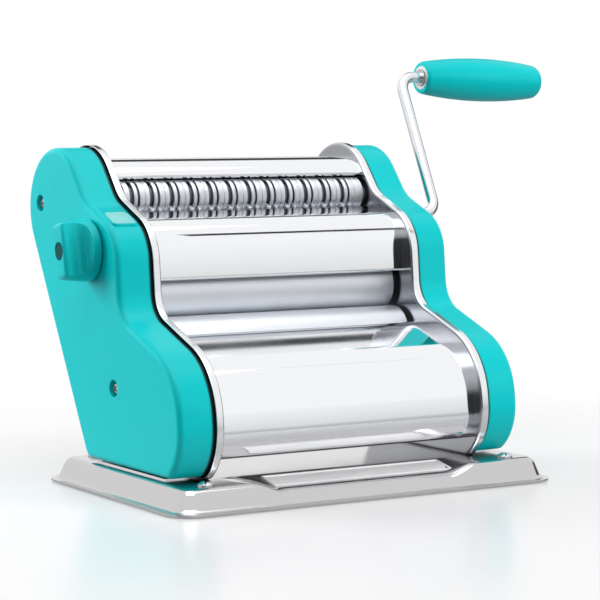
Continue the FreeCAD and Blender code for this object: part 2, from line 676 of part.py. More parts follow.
# Smooth rollers
for name in ("lower_roller", "upper_roller"):
    node(turned(name, [
        ("-bush_end - shaft_end", "0"), ("-bush_end - shaft_end", "roller_journal"),
        ("-roller_length / 2", "roller_journal"), ("-roller_length / 2", "roller_radius"),
        ("roller_length / 2", "roller_radius"), ("roller_length / 2", "roller_journal"),
        ("second_gear_end + shaft_end", "roller_journal"), ("second_gear_end + shaft_end", "0")],
        at(name)), name)

# Cutters: one period of grooves, repeated along the shaft
derive("cutter_period", (size("roller_length") - 2 * size("cutter_land")) / size("cutter_periods"))
derive("cutter_groove_radius", size("cutter_radius") - size("cutter_groove_depth"))
derive("cutter_first", -size("roller_length") / 2 + size("cutter_land"))
derive("second_start", size("cutter_first") + size("first_groove") + size("first_ring"))


def cutter(name, grooves, ends):
    """A shaft with two grooves cut per period; ends are the radii of its end lands."""
    left_end = "-bush_end - shaft_end"
    right_end = "first_gear_end + shaft_end"
    steps = []
    if ends != "cutter_radius":
        steps = [("cutter_first", ends), ("cutter_first", "cutter_radius"),
                 ("-cutter_first", "cutter_radius"), ("-cutter_first", ends)]
    body = turned(name, [
        (left_end, "0"), (left_end, "cutter_journal"), ("-roller_length / 2", "cutter_journal"),
        ("-roller_length / 2", ends)] + steps + [("roller_length / 2", ends),
        ("roller_length / 2", "cutter_journal"), (right_end, "cutter_journal"), (right_end, "0")], at(name))
    doc.recompute()
    cuts = []
    for start, width in grooves:
        sketch = polygon(body, "XY_Plane", [
            (start, "cutter_groove_radius"), (start, "2 * cutter_radius"),
            (f"{start} + {width}", "2 * cutter_radius"), (f"{start} + {width}", "cutter_groove_radius")])
        groove = body.newObject("PartDesign::Groove", name + "_groove")
        groove.Profile = sketch
        groove.ReferenceAxis = (sketch, ["H_Axis"])
        groove.Angle = FULL_TURN
        cuts.append(groove)
    pattern = body.newObject("PartDesign::LinearPattern", name + "_rings")
    pattern.Originals = cuts
    pattern.Direction = (cuts[0].Profile[0], ["H_Axis"])
    bind(pattern, "Length", "cutter_period * (cutter_periods - 1)")
    bind(pattern, "Occurrences", "cutter_periods")
    body.Tip = pattern
    return node(body, name)


cutter("front_cutter", [("cutter_first", "first_groove"), ("second_start", "second_groove")], "cutter_radius")
cutter("rear_cutter", [
    ("cutter_first + first_groove - cutter_side_clearance", "first_ring + 2 * cutter_side_clearance"),
    ("second_start + second_groove - cutter_side_clearance",
     "cutter_period - first_groove - first_ring - second_groove + 2 * cutter_side_clearance")],
    "cutter_groove_radius")

# Chromed sheet covers between the plates


def bent_sheet(label, corners, thickness="cover_sheet"):
    """A sheet bent along X that reaches from plate to plate."""
    face = sheet_face(corners, size(thickness))
    return node(prism(label, face, "-plate_inner", "2 * plate_inner"), label)


lip_length = size("cover_lip")
bent_sheet("top_cover", [
    (size("hood_back_y"), size("hood_z") - lip_length, 0),
    (size("hood_back_y"), size("hood_z"), 2 * size("cover_sheet")),
    (size("hood_bend_y"), size("hood_z"), size("hood_bend_radius")),
    (size("hood_front_y"), size("hood_front_z"), 2 * size("cover_sheet")),
    (size("hood_front_y") + lip_length, size("hood_front_z") - size("cover_sheet"), 0)])
bent_sheet("upper_front_cover", [
    (size("upper_cover_top_y"), size("upper_cover_top_z"), 0),
    (size("upper_cover_bend_y"), size("upper_cover_bend_z"), size("upper_cover_bend_radius")),
    (size("upper_cover_low_y"), size("upper_cover_low_z"), 2 * size("cover_sheet")),
    (size("upper_cover_low_y") + lip_length, size("upper_cover_low_z") - size("cover_sheet"), 0)])
inset_outline = shifted(OUTLINE, size("lower_cover_inset"), True)
belly, toe, sole = inset_outline[4:7]
to_low = (size("lower_cover_low_z") - toe[1]) / (sole[1] - toe[1])
bent_sheet("lower_front_cover", [
    (size("lower_cover_top_y"), size("lower_cover_top_z"), 0),
    (size("lower_cover_bend_y"), size("lower_cover_bend_z"), size("lower_cover_bend_radius")),
    belly, toe,
    (toe[0] + to_low * (sole[0] - toe[0]), size("lower_cover_low_z"), 0)])
bent_sheet("rear_slide", [
    (size("slide_back_y") - size("cover_sheet"), size("slide_back_z") - lip_length, 0),
    (size("slide_back_y"), size("slide_back_z"), 2 * size("cover_sheet")),
    (size("slide_front_y"), size("slide_front_z"), 0)])

# Scraper blades just behind the nip, one to each roller
for name, side in (("upper", 1), ("lower", -1)):
    blade = slant - 90
    edge_y, edge_z = polar(size("roller_radius") + size("scraper_gap"), blade)
    heading = blade + side * size("scraper_tilt")
    back_y, back_z = polar(size("scraper_reach"), heading)
    flange_y, flange_z = polar(size("scraper_flange"), heading + side * 90)
    start = (size(name + "_roller_y") + edge_y, size(name + "_roller_z") + edge_z, 0)
    bend = (start[0] + back_y, start[1] + back_z, 2 * size("cover_sheet"))
    finish = (bend[0] + flange_y, bend[1] + flange_z, 0)
    bent_sheet(name + "_scraper", [start, bend, finish] if side > 0 else [finish, bend, start])

# Combs: curved tines that stand in the cutters' grooves, on a bar from plate to plate


def comb(label, cutter_name, side, tines):
    """side is 1 for a comb in front of its cutter and -1 behind it."""
    y, z = centre(cutter_name)
    inner = size("cutter_groove_radius") + size("comb_clearance")
    outer = inner + size("comb_tine_depth")
    start = size("comb_start")
    angles = [start, start + size("comb_sweep") / 2, start + size("comb_sweep")]

    def ring_point(radius, angle):
        across, up = polar(radius, angle)
        return V(0, y + side * across, z + up)

    arcs = [[ring_point(radius, angle) for angle in angles] for radius in (inner, outer)]
    edges = [Part.Arc(*arcs[0]), Part.LineSegment(arcs[0][2], arcs[1][2]),
             Part.Arc(*arcs[1][::-1]), Part.LineSegment(arcs[1][0], arcs[0][0])]
    face = Part.Face(Part.Wire([edge.toShape() for edge in edges]))
    top = z - size("comb_bar_drop")
    near = y - side * (size("comb_bar_shift") - size("comb_bar_depth") / 2)
    far = y - side * (size("comb_bar_shift") + size("comb_bar_depth") / 2)
    low, high = sorted((near, far))
    bar = closed_face([(low, top - size("comb_bar_height"), 0), (high, top - size("comb_bar_height"), 0),
                       (high, top, 0), (low, top, 0)])
    pieces = [prism(label + "_bar", bar, "-plate_inner", "2 * plate_inner")]
    for period in range(int(size("cutter_periods"))):
        for tine, (begin, width) in enumerate(tines):
            pieces.append(prism(f"{label}_tine_{period}_{tine}", face,
                                f"{begin} + {period} * cutter_period + comb_side_clearance",
                                f"{width} - 2 * comb_side_clearance"))
    node(fuse(label, pieces), label)


comb("front_comb", "front_cutter", 1, [("cutter_first", "first_groove"), ("second_start", "second_groove")])
comb("rear_comb", "rear_cutter", -1, [("cutter_first + first_groove", "first_ring")])

# Side covers: deep moulded shells inside the plates' flanges
cover_inset = size("flange_sheet") + size("cover_gap")
derive("cup_floor", size("cover_outer") - size("screw_cup_depth"))
derive("cup_back", size("cup_floor") - size("screw_cup_wall"))


def cover(label, mirror, screws, openings, additions):
    """Built for the right side; the left one is its mirror image with its own openings."""
    block = prism(label + "_block", closed_face(shifted(OUTLINE, cover_inset, True)), "plate_outer",
                  "cover_outer - plate_outer")
    shell = rounded_edges(label + "_edge", block, size("cover_edge_radius"),
                          on_plane("X", size("cover_outer")))
    hollow = prism(label + "_hollow", closed_face(shifted(OUTLINE, cover_inset + size("cover_wall"), True)),
                   "plate_outer", "cover_inner - plate_outer")
    inside = rounded_edges(label + "_hollow_edge", hollow, size("cover_edge_radius") - size("cover_wall"),
                           on_plane("X", size("cover_inner")))
    bodies = [cut(label + "_shell", shell, [inside])] + additions
    tools = list(openings)
    for name in screws:
        place = (name + "_y", name + "_z")
        bodies.append(rod(f"{label}_{name}_cup", "screw_cup_radius + screw_cup_wall", "cup_back",
                          "cover_inner - cup_back", *place))
        tools.append(rod(f"{label}_{name}_recess", "screw_cup_radius", "cup_floor", "screw_cup_depth",
                         *place))
        tools.append(rod(f"{label}_{name}_hole", "screw_shank_radius", "cup_back", "screw_cup_wall", *place))
    finished = cut(label if not mirror else label + "_right_hand", fuse(label + "_moulding", bodies), tools)
    node(mirrored(finished) if mirror else finished, label)
    posts = []
    heads = []
    for name in screws:
        posts.append(turned(f"{label}_{name}_post", [
            ("plate_inner", "0"), ("plate_inner", "standoff_rivet_radius"),
            ("plate_outer", "standoff_rivet_radius"), ("plate_outer", "standoff_radius"),
            ("cup_back", "standoff_radius"), ("cup_back", "screw_shank_radius"),
            ("cup_floor - screw_length", "screw_shank_radius"), ("cup_floor - screw_length", "0")], at(name)))
        heads.append(turned(f"{label}_{name}_screw", [
            ("cup_floor - screw_length", "0"), ("cup_floor - screw_length", "screw_shank_radius"),
            ("cup_floor", "screw_shank_radius"), ("cup_floor", "screw_head_radius"),
            ("cup_floor + screw_head_height / 2", "screw_head_radius"),
            ("cup_floor + screw_head_height", "screw_head_radius / 2"),
            ("cup_floor + screw_head_height", "0")], at(name)))
    side = label.split("_")[0]
    group(side + "_standoffs", [mirrored(post) for post in posts] if mirror else posts)
    group(side + "_cover_screws", [mirrored(head) for head in heads] if mirror else heads)


# Dial window: a raised pad with a round lens on the left cover's sloped rim, over the number drum
neck = V(0, size("neck_y"), size("neck_z"))
rim_way = (neck - V(0, size("shoulder_y"), size("shoulder_z"))).normalize()
rim_out = V(0, -rim_way.z, rim_way.y)
dial_axis = V(0, size("dial_y"), size("dial_z"))
rim_depth = (neck - rim_out * cover_inset - dial_axis).dot(rim_out)
window_foot = dial_axis + rim_out * rim_depth - rim_way * size("window_shift")
derive("drum_start", size("scroll_end") + size("drum_gap"))
window_foot.x = size("drum_start") + size("drum_width") / 2
to_window = FreeCAD.Rotation(V(0, 0, 1), rim_out)


def window_disc(name, radius, height, sink):
    disc = doc.addObject("Part::Cylinder", name)
    bind(disc, "Radius", radius)
    bind(disc, "Height", height)
    disc.Placement = FreeCAD.Placement(window_foot - rim_out * sink, to_window)
    return disc


def along_window(edge):
    return abs(edge.tangentAt(edge.FirstParameter).dot(rim_out)) > 1 - SAME_PLACE


window_block = doc.addObject("Part::Box", "window_block")
for side, formula in (("Length", "2 * pad_half_width"), ("Width", "2 * pad_half_length"),
                      ("Height", "cover_wall + window_rise")):
    bind(window_block, side, formula)
to_corner = V(size("pad_half_width"), 0, 0) + rim_way * size("pad_half_length")
to_corner += rim_out * size("cover_wall")
window_block.Placement = FreeCAD.Placement(window_foot - to_corner, to_window)
window_pad = rounded_edges("window_pad", window_block, size("pad_corner"), along_window)
window_hole = window_disc("window_hole", "window_radius", "cover_wall + 2 * window_rise",
                          size("cover_wall") + size("window_rise") / 2)
lens = window_disc("lens_right_hand", "window_radius", "lens_thickness",
                   size("lens_thickness") - size("window_rise") / 2)
node(mirrored(lens), "dial_window")
dial_hole = rod("dial_hole", "dial_shaft_radius + shaft_hole_clearance", "cover_inner", "cover_wall",
                "dial_y", "dial_z")
drive_hole = rod("drive_hole", "drive_shaft_radius + shaft_hole_clearance", "cover_inner", "cover_wall",
                 "drive_y", "drive_z")
cover("right_cover", False, ("upper_screw", "right_screw"), [drive_hole], [])
cover("left_cover", True, ("upper_screw", "left_screw"), [dial_hole, window_hole], [window_pad])

# Gears: a disc, one tooth and a polar pattern of it


def gear(label, teeth, bore, start, place, phase, module="gear_module", tooth="gear_", half="tooth_half",
         tip_half="tooth_tip_half"):
    body = new_body(label, place, X_AXIS, phase)
    root = f"{module} * {teeth} / 2 - {tooth}dedendum"
    tip = f"{module} * {teeth} / 2 + {tooth}addendum"
    disc = new_sketch(body, "YZ_Plane", start)
    circle(disc, root)
    circle(disc, bore)
    blank = body.newObject("PartDesign::Pad", label + "_blank")
    blank.Profile = disc
    bind(blank, "Length", "gear_width")
    sunk = f"({root} - tooth_sink)"
    flare = f"({half} - {tip_half}) / {tooth}addendum"
    foot = f"({half} + {flare} * ({tooth}dedendum + tooth_sink))"
    outline = polygon(body, "YZ_Plane", [
        (sunk, f"-{foot}"), (tip, f"-{tip_half}"), (tip, tip_half), (sunk, foot)], start)
    first = body.newObject("PartDesign::Pad", label + "_tooth")
    first.Profile = outline
    bind(first, "Length", "gear_width")
    pattern = body.newObject("PartDesign::PolarPattern", label + "_teeth")
    pattern.Originals = [first]
    pattern.Axis = (disc, ["N_Axis"])
    pattern.Angle = FULL_TURN
    bind(pattern, "Occurrences", teeth)
    body.Tip = pattern
    return node(body, label)


def meshed(name, teeth, phase, other, other_teeth):
    """The turn that puts the other gear's gap at this gear's tooth, on their line of centres."""
    y, z = centre(name)
    other_y, other_z = centre(other)
    line = math.degrees(math.atan2(other_z - z, other_y - y))
    own_pitch = FULL_TURN / size(teeth)
    other_pitch = FULL_TURN / size(other_teeth)
    ahead = (line - phase) / own_pitch
    return (line + FULL_TURN / 2 - (1 / 2 - ahead) * other_pitch) % other_pitch


front_phase = meshed("drive", "pinion_teeth", 0, "front_cutter", "pinion_teeth")
rear_phase = meshed("front_cutter", "pinion_teeth", front_phase, "rear_cutter", "pinion_teeth")
upper_idler_phase = meshed("drive", "pinion_teeth", 0, "upper_idler", "upper_idler_teeth")
lower_idler_phase = meshed("upper_idler", "upper_idler_teeth", upper_idler_phase, "lower_idler",
                           "lower_idler_teeth")
roller_drive_phase = meshed("lower_idler", "lower_idler_teeth", lower_idler_phase, "lower_roller",
                            "roller_drive_teeth")
upper_roller_phase = meshed("lower_roller", "roller_teeth", 0, "upper_roller", "roller_teeth")
derive("roller_module", 2 * size("roller_radius") / size("roller_teeth"))
gear("drive_pinion", "pinion_teeth", "drive_shaft_radius", "first_gear", at("drive"), 0)
gear("front_cutter_gear", "pinion_teeth", "cutter_journal", "first_gear", at("front_cutter"), front_phase)
gear("rear_cutter_gear", "pinion_teeth", "cutter_journal", "first_gear", at("rear_cutter"), rear_phase)
gear("upper_idler", "upper_idler_teeth", "stud_radius + running_clearance", "first_gear", at("upper_idler"),
     upper_idler_phase)
gear("lower_idler", "lower_idler_teeth", "stud_radius + running_clearance", "first_gear", at("lower_idler"),
     lower_idler_phase)
gear("lower_roller_drive_gear", "roller_drive_teeth", "roller_journal", "first_gear", at("lower_roller"),
     roller_drive_phase)
for name, phase in (("lower_roller", 0), ("upper_roller", upper_roller_phase)):
    gear(name + "_gear", "roller_teeth", "roller_journal", "second_gear", at(name), phase, "roller_module",
         "roller_tooth_", "roller_tooth_half", "roller_tooth_tip_half")

# Idler studs, riveted to the right plate, with a clip outside each gear
derive("stud_shoulder", size("first_gear") - size("axial_clearance"))
derive("clip_start", size("first_gear_end") + size("axial_clearance"))
derive("clip_end", size("clip_start") + size("clip_width"))
group("idler_studs", [turned(name + "_stud", [
    ("plate_inner", "0"), ("plate_inner", "stud_radius"), ("plate_outer", "stud_radius"),
    ("plate_outer", "stud_collar"), ("stud_shoulder", "stud_collar"), ("stud_shoulder", "stud_radius"),
    ("clip_end", "stud_radius"), ("clip_end", "0")], at(name)) for name in ("upper_idler", "lower_idler")])
group("idler_clips", [turned(name + "_clip", [
    ("clip_start", "stud_radius"), ("clip_start", "clip_radius"), ("clip_end", "clip_radius"),
    ("clip_end", "stud_radius")], at(name)) for name in ("upper_idler", "lower_idler")])

# Carriage of the upper roller: a slider outside each plate, with a tongue in the plate's slot
dial_offset = V(0, *centre("dial")) - V(0, *centre("upper_roller"))
dial_along = dial_offset.y * unit_y + dial_offset.z * unit_z
dial_across = -dial_offset.y * unit_z + dial_offset.z * unit_y
pin_along = dial_along - size("scroll_start_radius")
pin_y, pin_z = carriage_point(pin_along, dial_across)
derive("slider_pin_y", pin_y)
derive("slider_pin_z", pin_z)
derive("bush_seat", size("roller_journal_bush"))


def slider(label, mirror):
    half = size("slider_half")
    tongue = size("tongue_half")
    edge = size("slider_pin_radius") + size("slider_pin_edge")
    block_face = carriage_face(-half, pin_along + size("slider_pin_edge"), dial_across + edge, -half, edge)
    block = prism(label + "_block", block_face, "slider_start", "slider_thickness")
    guide = prism(label + "_tongue", carriage_face(-tongue, tongue, tongue, -tongue), "plate_inner",
                  "slider_start - plate_inner")
    follower = rod(label + "_pin", "slider_pin_radius", "slider_end", "scroll_end - slider_end",
                   "slider_pin_y", "slider_pin_z")
    bore = rod(label + "_bore", "bush_seat", "plate_inner", "slider_end - plate_inner",
               "upper_roller_y", "upper_roller_z")
    right_hand = cut(label + "_solid", fuse(label + "_blank", [block, guide, follower]), [bore])
    return node(mirrored(right_hand) if mirror else right_hand, label)


slider("right_slider", False)
slider("left_slider", True)
pair("upper_roller_bushes", turned("upper_roller_bush", [
    ("bush_start", "roller_journal + running_clearance"), ("bush_start", "bush_seat"),
    ("slider_end", "bush_seat"), ("slider_end", "roller_journal + running_clearance")], at("upper_roller")))

# Scroll plates: a spiral slot pulls the follower pins towards the dial shaft as the dial turns


def scroll_slot():
    """The slot's face: two spirals joined by round ends."""
    half = size("slider_pin_radius") + size("slot_clearance")
    per_degree = size("roller_gap_travel") / size("dial_range")
    first = -size("slot_spare")
    last = size("dial_range") + size("slot_spare")
    steps = 2 * int(size("dial_range") / size("slot_spare"))
    y, z = centre("dial")

    def spiral(turn, offset):
        radius = size("scroll_start_radius") - per_degree * turn + offset
        across, up = polar(radius, slant + FULL_TURN / 2 - turn)
        return V(0, y + across, z + up)

    turns = [first + (last - first) * step / steps for step in range(steps + 1)]
    sides = []
    for offset in (half, -half):
        curve = Part.BSplineCurve()
        curve.interpolate([spiral(turn, offset) for turn in turns])
        sides.append(curve.toShape())
    ends = []
    for turn, way in ((first, -1), (last, 1)):
        beyond = slant + FULL_TURN / 2 - turn - way * FULL_TURN / 4
        across, up = polar(half, beyond)
        tip = spiral(turn, 0) + V(0, across, up)
        ends.append(Part.Arc(spiral(turn, half), tip, spiral(turn, -half)).toShape())
    return Part.Face(Part.Wire(Part.__sortEdges__(sides + ends)))


def scroll(label, start):
    disc = rod(label + "_disc", "scroll_radius", start, "scroll_thickness", "dial_y", "dial_z")
    slot = prism(label + "_slot", scroll_slot(), start, "scroll_thickness")
    eye = rod(label + "_eye", "dial_shaft_radius", start, "scroll_thickness", "dial_y", "dial_z")
    node(cut(label, disc, [slot, eye]), label)


scroll("right_scroll", "scroll_start")
scroll("left_scroll", "-scroll_end")

# Dial: shaft, number drum, knob, its screw and its spring. Stations run outward to the left
derive("knob_start", size("cover_outer") + size("knob_gap"))
derive("knob_end", size("knob_start") + size("knob_height"))
derive("knob_floor_face", size("knob_start") + size("knob_floor"))
derive("dial_shaft_end", size("knob_floor_face") + size("dial_shaft_out"))
derive("screw_head_face", size("knob_floor_face") + 2 * size("knob_travel"))
derive("screw_tip", size("screw_head_face") - size("dial_screw_length"))
node(turned("dial_shaft", [
    ("scroll_end", "0"), ("scroll_end", "dial_shaft_radius"), ("-dial_shaft_end", "dial_shaft_radius"),
    ("-dial_shaft_end", "dial_screw_radius"), ("-screw_tip", "dial_screw_radius"), ("-screw_tip", "0")],
    at("dial")), "dial_shaft")
node(turned("dial_screw", [
    ("-screw_tip", "0"), ("-screw_tip", "dial_screw_radius"), ("-screw_head_face", "dial_screw_radius"),
    ("-screw_head_face", "dial_screw_head"), ("-screw_head_face - dial_screw_head_height", "dial_screw_head"),
    ("-screw_head_face - dial_screw_head_height", "0")], at("dial")), "dial_screw")
node(turned("number_drum", [
    ("-drum_start", "dial_shaft_radius"), ("-drum_start", "drum_radius"),
    ("-drum_start - drum_width", "drum_radius"), ("-drum_start - drum_width", "drum_radius - drum_wall"),
    ("-drum_start - drum_wall", "drum_radius - drum_wall"), ("-drum_start - drum_wall", "drum_hub"),
    ("-drum_start - drum_width / 2", "drum_hub"), ("-drum_start - drum_width / 2", "dial_shaft_radius")],
    at("dial")), "number_drum")

knob_blank = turned("knob_blank", [
    ("-knob_start", "0"), ("-knob_start", "knob_radius"), ("-knob_start - knob_rim", "knob_radius"),
    ("-knob_end", "knob_top_radius"), ("-knob_end", "0")], at("dial"), X_AXIS, size("knob_tilt"))
knob_round = rounded_edges("knob_round", knob_blank, size("knob_edge"), on_plane("X", -size("knob_end")))
scoops = []
for name, side in (("front", -1), ("back", 1)):
    scoop = doc.addObject("Part::Cylinder", f"knob_{name}_scoop")
    bind(scoop, "Radius", "knob_scoop_radius")
    bind(scoop, "Height", "4 * knob_radius")
    lean = FreeCAD.Rotation(X_AXIS, size("knob_tilt"))
    away = side * (size("knob_grip_half") + size("knob_scoop_radius"))
    offset = lean.multVec(V(0, away, -2 * size("knob_radius")))
    scoop.Placement = FreeCAD.Placement(V(-size("knob_end"), *centre("dial")) + offset, lean)
    scoops.append(scoop)
bore = rod("knob_bore", "knob_bore_radius", "-knob_end", "knob_end - knob_floor_face", "dial_y", "dial_z")
eye = rod("knob_eye", "dial_shaft_radius + running_clearance", "-knob_floor_face", "knob_floor",
          "dial_y", "dial_z")
node(cut("dial_knob", knob_round, scoops + [bore, eye]), "dial_knob")


def biarc(start, way, end, onward):
    """Two tangent arcs from one point and heading to another."""
    chord = end - start
    both = way + onward
    square = 2 - 2 * way.dot(onward)
    linear = chord.dot(both)
    reach = (math.sqrt(linear ** 2 + square * chord.dot(chord)) - linear) / square
    corners = (start + way * reach, end - onward * reach)
    joint = (corners[0] + corners[1]) / 2
    arcs = []
    for first, corner, last in ((start, corners[0], joint), (joint, corners[1], end)):
        middle = (first + last) / 2
        rise = (corner - middle).Length
        half = (first - middle).Length
        crest = middle + (corner - middle) * (half * (reach - half) / rise ** 2)
        arcs.append(Part.Arc(first, crest, last).toShape())
    return arcs


def dial_spring():
    """A compression spring between the knob's floor and the screw's head."""
    radius = size("spring_radius")
    wire = size("spring_wire")
    seat = wire + size("spring_seat")
    low = -size("screw_head_face") + seat
    rise = size("screw_head_face") - size("knob_floor_face") - 2 * seat
    turns = size("spring_turns")
    quarters = int(4 * turns)
    climb = rise / (2 * math.pi * turns * radius)

    def stop(quarter):
        angle = quarter * math.pi / 2
        point = V(low + rise * quarter / quarters, size("dial_y") + radius * math.cos(angle),
                  size("dial_z") + radius * math.sin(angle))
        return point, V(climb, -math.sin(angle), math.cos(angle)).normalize()

    edges = []
    for quarter in range(quarters):
        edges += biarc(*stop(quarter), *stop(quarter + 1))
    start, way = stop(0)
    section = Part.Wire(Part.Circle(start, way, wire).toShape())
    print("least gap between the spring's turns", round(rise / turns - 2 * wire, 3))
    return Part.Wire(edges).makePipeShell([section], True, False)


spring = doc.addObject("Part::Feature", "dial_spring")
spring.Shape = dial_spring()
node(spring, "dial_spring")

# Crank: a socketed drive shaft, a bent rod and a free-turning grip
derive("shaft_outer", size("cover_outer") + size("drive_shaft_proud"))
derive("socket_floor", size("shaft_outer") - size("crank_socket"))
derive("collar_end", size("cover_inner") - size("axial_clearance"))
derive("collar_start", size("collar_end") - size("drive_collar_width"))
derive("drive_shoulder", size("bush_end") + size("axial_clearance"))
node(turned("drive_shaft", [
    ("plate_inner", "0"), ("plate_inner", "roller_journal"), ("drive_shoulder", "roller_journal"),
    ("drive_shoulder", "drive_shaft_radius"), ("collar_start", "drive_shaft_radius"),
    ("collar_start", "drive_collar_radius"), ("collar_end", "drive_collar_radius"),
    ("collar_end", "drive_shaft_radius"), ("shaft_outer", "drive_shaft_radius"),
    ("shaft_outer", "crank_radius"), ("socket_floor", "crank_radius"), ("socket_floor", "0")],
    at("drive")), "drive_shaft")

lean_y, lean_z = polar(size("crank_arm"), FULL_TURN / 4 - size("crank_lean"))
derive("grip_y", size("drive_y") + lean_y)
derive("grip_z", size("drive_z") + lean_z)
droop = math.radians(size("grip_droop"))
grip_way = V(math.cos(droop), 0, -math.sin(droop))
grip_corner = V(size("crank_plane"), *centre("grip"))
grip_turn = FreeCAD.Rotation(X_AXIS, grip_way)
derive("grip_near", size("crank_bend") + size("grip_start"))
derive("rod_reach", size("grip_near") + size("ferrule_length") + size("grip_bore_depth") - size("shaft_end"))


def bent_rod(points, bend, radius):
    """A round rod through the points, bent with one radius."""
    edges = []
    start = points[0]
    for before, corner, after in zip(points, points[1:], points[2:]):
        back = (before - corner).normalize()
        onward = (after - corner).normalize()
        half = back.getAngle(onward) / 2
        reach = bend / math.tan(half)
        inward = (back + onward).normalize()
        edges.append(Part.LineSegment(start, corner + back * reach).toShape())
        middle = corner + inward * (bend / math.sin(half) - bend)
        edges.append(Part.Arc(corner + back * reach, middle, corner + onward * reach).toShape())
        start = corner + onward * reach
    edges.append(Part.LineSegment(start, points[-1]).toShape())
    section = Part.Wire(Part.Circle(points[0], points[1] - points[0], radius).toShape())
    return Part.Wire(edges).makePipeShell([section], True, False)


drive_point = V(size("socket_floor"), *centre("drive"))
crank = doc.addObject("Part::Feature", "crank_rod")
crank.Shape = bent_rod([drive_point, V(size("crank_plane"), *centre("drive")), grip_corner,
                        grip_corner + grip_way * size("rod_reach")], size("crank_bend"), size("crank_radius"))
node(crank, "crank_rod")


def along_grip(name, profile):
    """A piece turned about the grip's drooping axis; corners run outward from the rod's corner."""
    body = turned(name, profile, ("crank_plane", "grip_y", "grip_z"), Y_AXIS, size("grip_droop"))
    return node(body, name)


derive("ferrule_end", size("grip_near") + size("ferrule_length"))
derive("clip_face", size("grip_near") - size("axial_clearance") - size("grip_clip_width"))
along_grip("grip_clip", [
    ("clip_face", "crank_radius"), ("clip_face", "grip_clip_radius"),
    ("clip_face + grip_clip_width", "grip_clip_radius"), ("clip_face + grip_clip_width", "crank_radius")])
derive("ferrule_seat", size("ferrule_radius") + size("running_clearance"))
along_grip("grip_ferrule", [
    ("grip_near", "crank_radius + running_clearance"), ("grip_near", "ferrule_radius"),
    ("ferrule_end", "ferrule_radius"), ("ferrule_end", "crank_radius + running_clearance")])

# The grip's barrel is one arc, revolved, with rounded ends, a seat for the ferrule and a blind bore
grip_from = size("grip_near")
grip_to = grip_from + size("grip_length")
barrel = Part.Arc(V(grip_from, size("grip_end_radius"), 0),
                  V(grip_from + size("grip_length") * size("grip_belly"), size("grip_belly_radius"), 0),
                  V(grip_to, size("grip_end_radius"), 0)).toShape()
bore_radius = size("crank_radius") + size("running_clearance")
bore_end = size("ferrule_end") + size("grip_bore_depth")
walls = [V(grip_to, size("grip_end_radius"), 0), V(grip_to, 0, 0), V(bore_end, 0, 0),
         V(bore_end, bore_radius, 0), V(size("ferrule_end"), bore_radius, 0),
         V(size("ferrule_end"), size("ferrule_seat"), 0), V(grip_from, size("ferrule_seat"), 0),
         V(grip_from, size("grip_end_radius"), 0)]
sides = [Part.LineSegment(first, second).toShape() for first, second in zip(walls, walls[1:])]
grip_face = Part.Face(Part.Wire([barrel] + sides))
grip_blank = grip_face.revolve(V(), X_AXIS, FULL_TURN)


def rim_edges(shape, place):
    """The outer round edge of the grip at one of its ends."""
    found = [edge for edge in shape.Edges if on_plane("X", place)(edge)]
    widest = max(edge.Length for edge in found)
    return [edge for edge in found if edge.Length > widest - SAME_PLACE]


grip_blank = grip_blank.makeFillet(size("grip_near_rounding"), rim_edges(grip_blank, grip_from))
grip = doc.addObject("Part::Feature", "crank_grip")
grip.Shape = grip_blank.makeFillet(size("grip_rounding"), rim_edges(grip_blank, grip_to))
grip.Placement = FreeCAD.Placement(grip_corner, grip_turn)
node(grip, "crank_grip")

# Check every piece, then write one file per part
doc.recompute()
faults = [item.Name for item in doc.Objects if "Invalid" in item.State or "Error" in item.State]
for item in nodes:
    if item.Shape.isNull() or not item.Shape.isValid() or not item.Shape.Solids:
        faults.append(item.Label)
if faults:
    raise RuntimeError("faulty pieces: " + ", ".join(faults))
os.makedirs("parts", exist_ok=True)
for item in nodes:
    item.Shape.exportStep(f"parts/{item.Label}.step")
print(len(nodes), "parts,", sum(len(item.Shape.Solids) for item in nodes), "solids")
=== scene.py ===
# %% [markdown]
# A table-top pasta roller
# The machine stands on a pressed tray: two plated side plates, bright bent covers between them, smooth
# rollers, ring cutters, deep plastic side covers, a gap dial on the left and a crank on the right.
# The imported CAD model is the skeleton. It is right in size but its curves are coarse, so each bright or
# moulded piece is made again here with fine curves, in the same place, and takes over from its CAD piece.

import json
import math

import bmesh
import bpy
from mathutils import Matrix, Quaternion, Vector


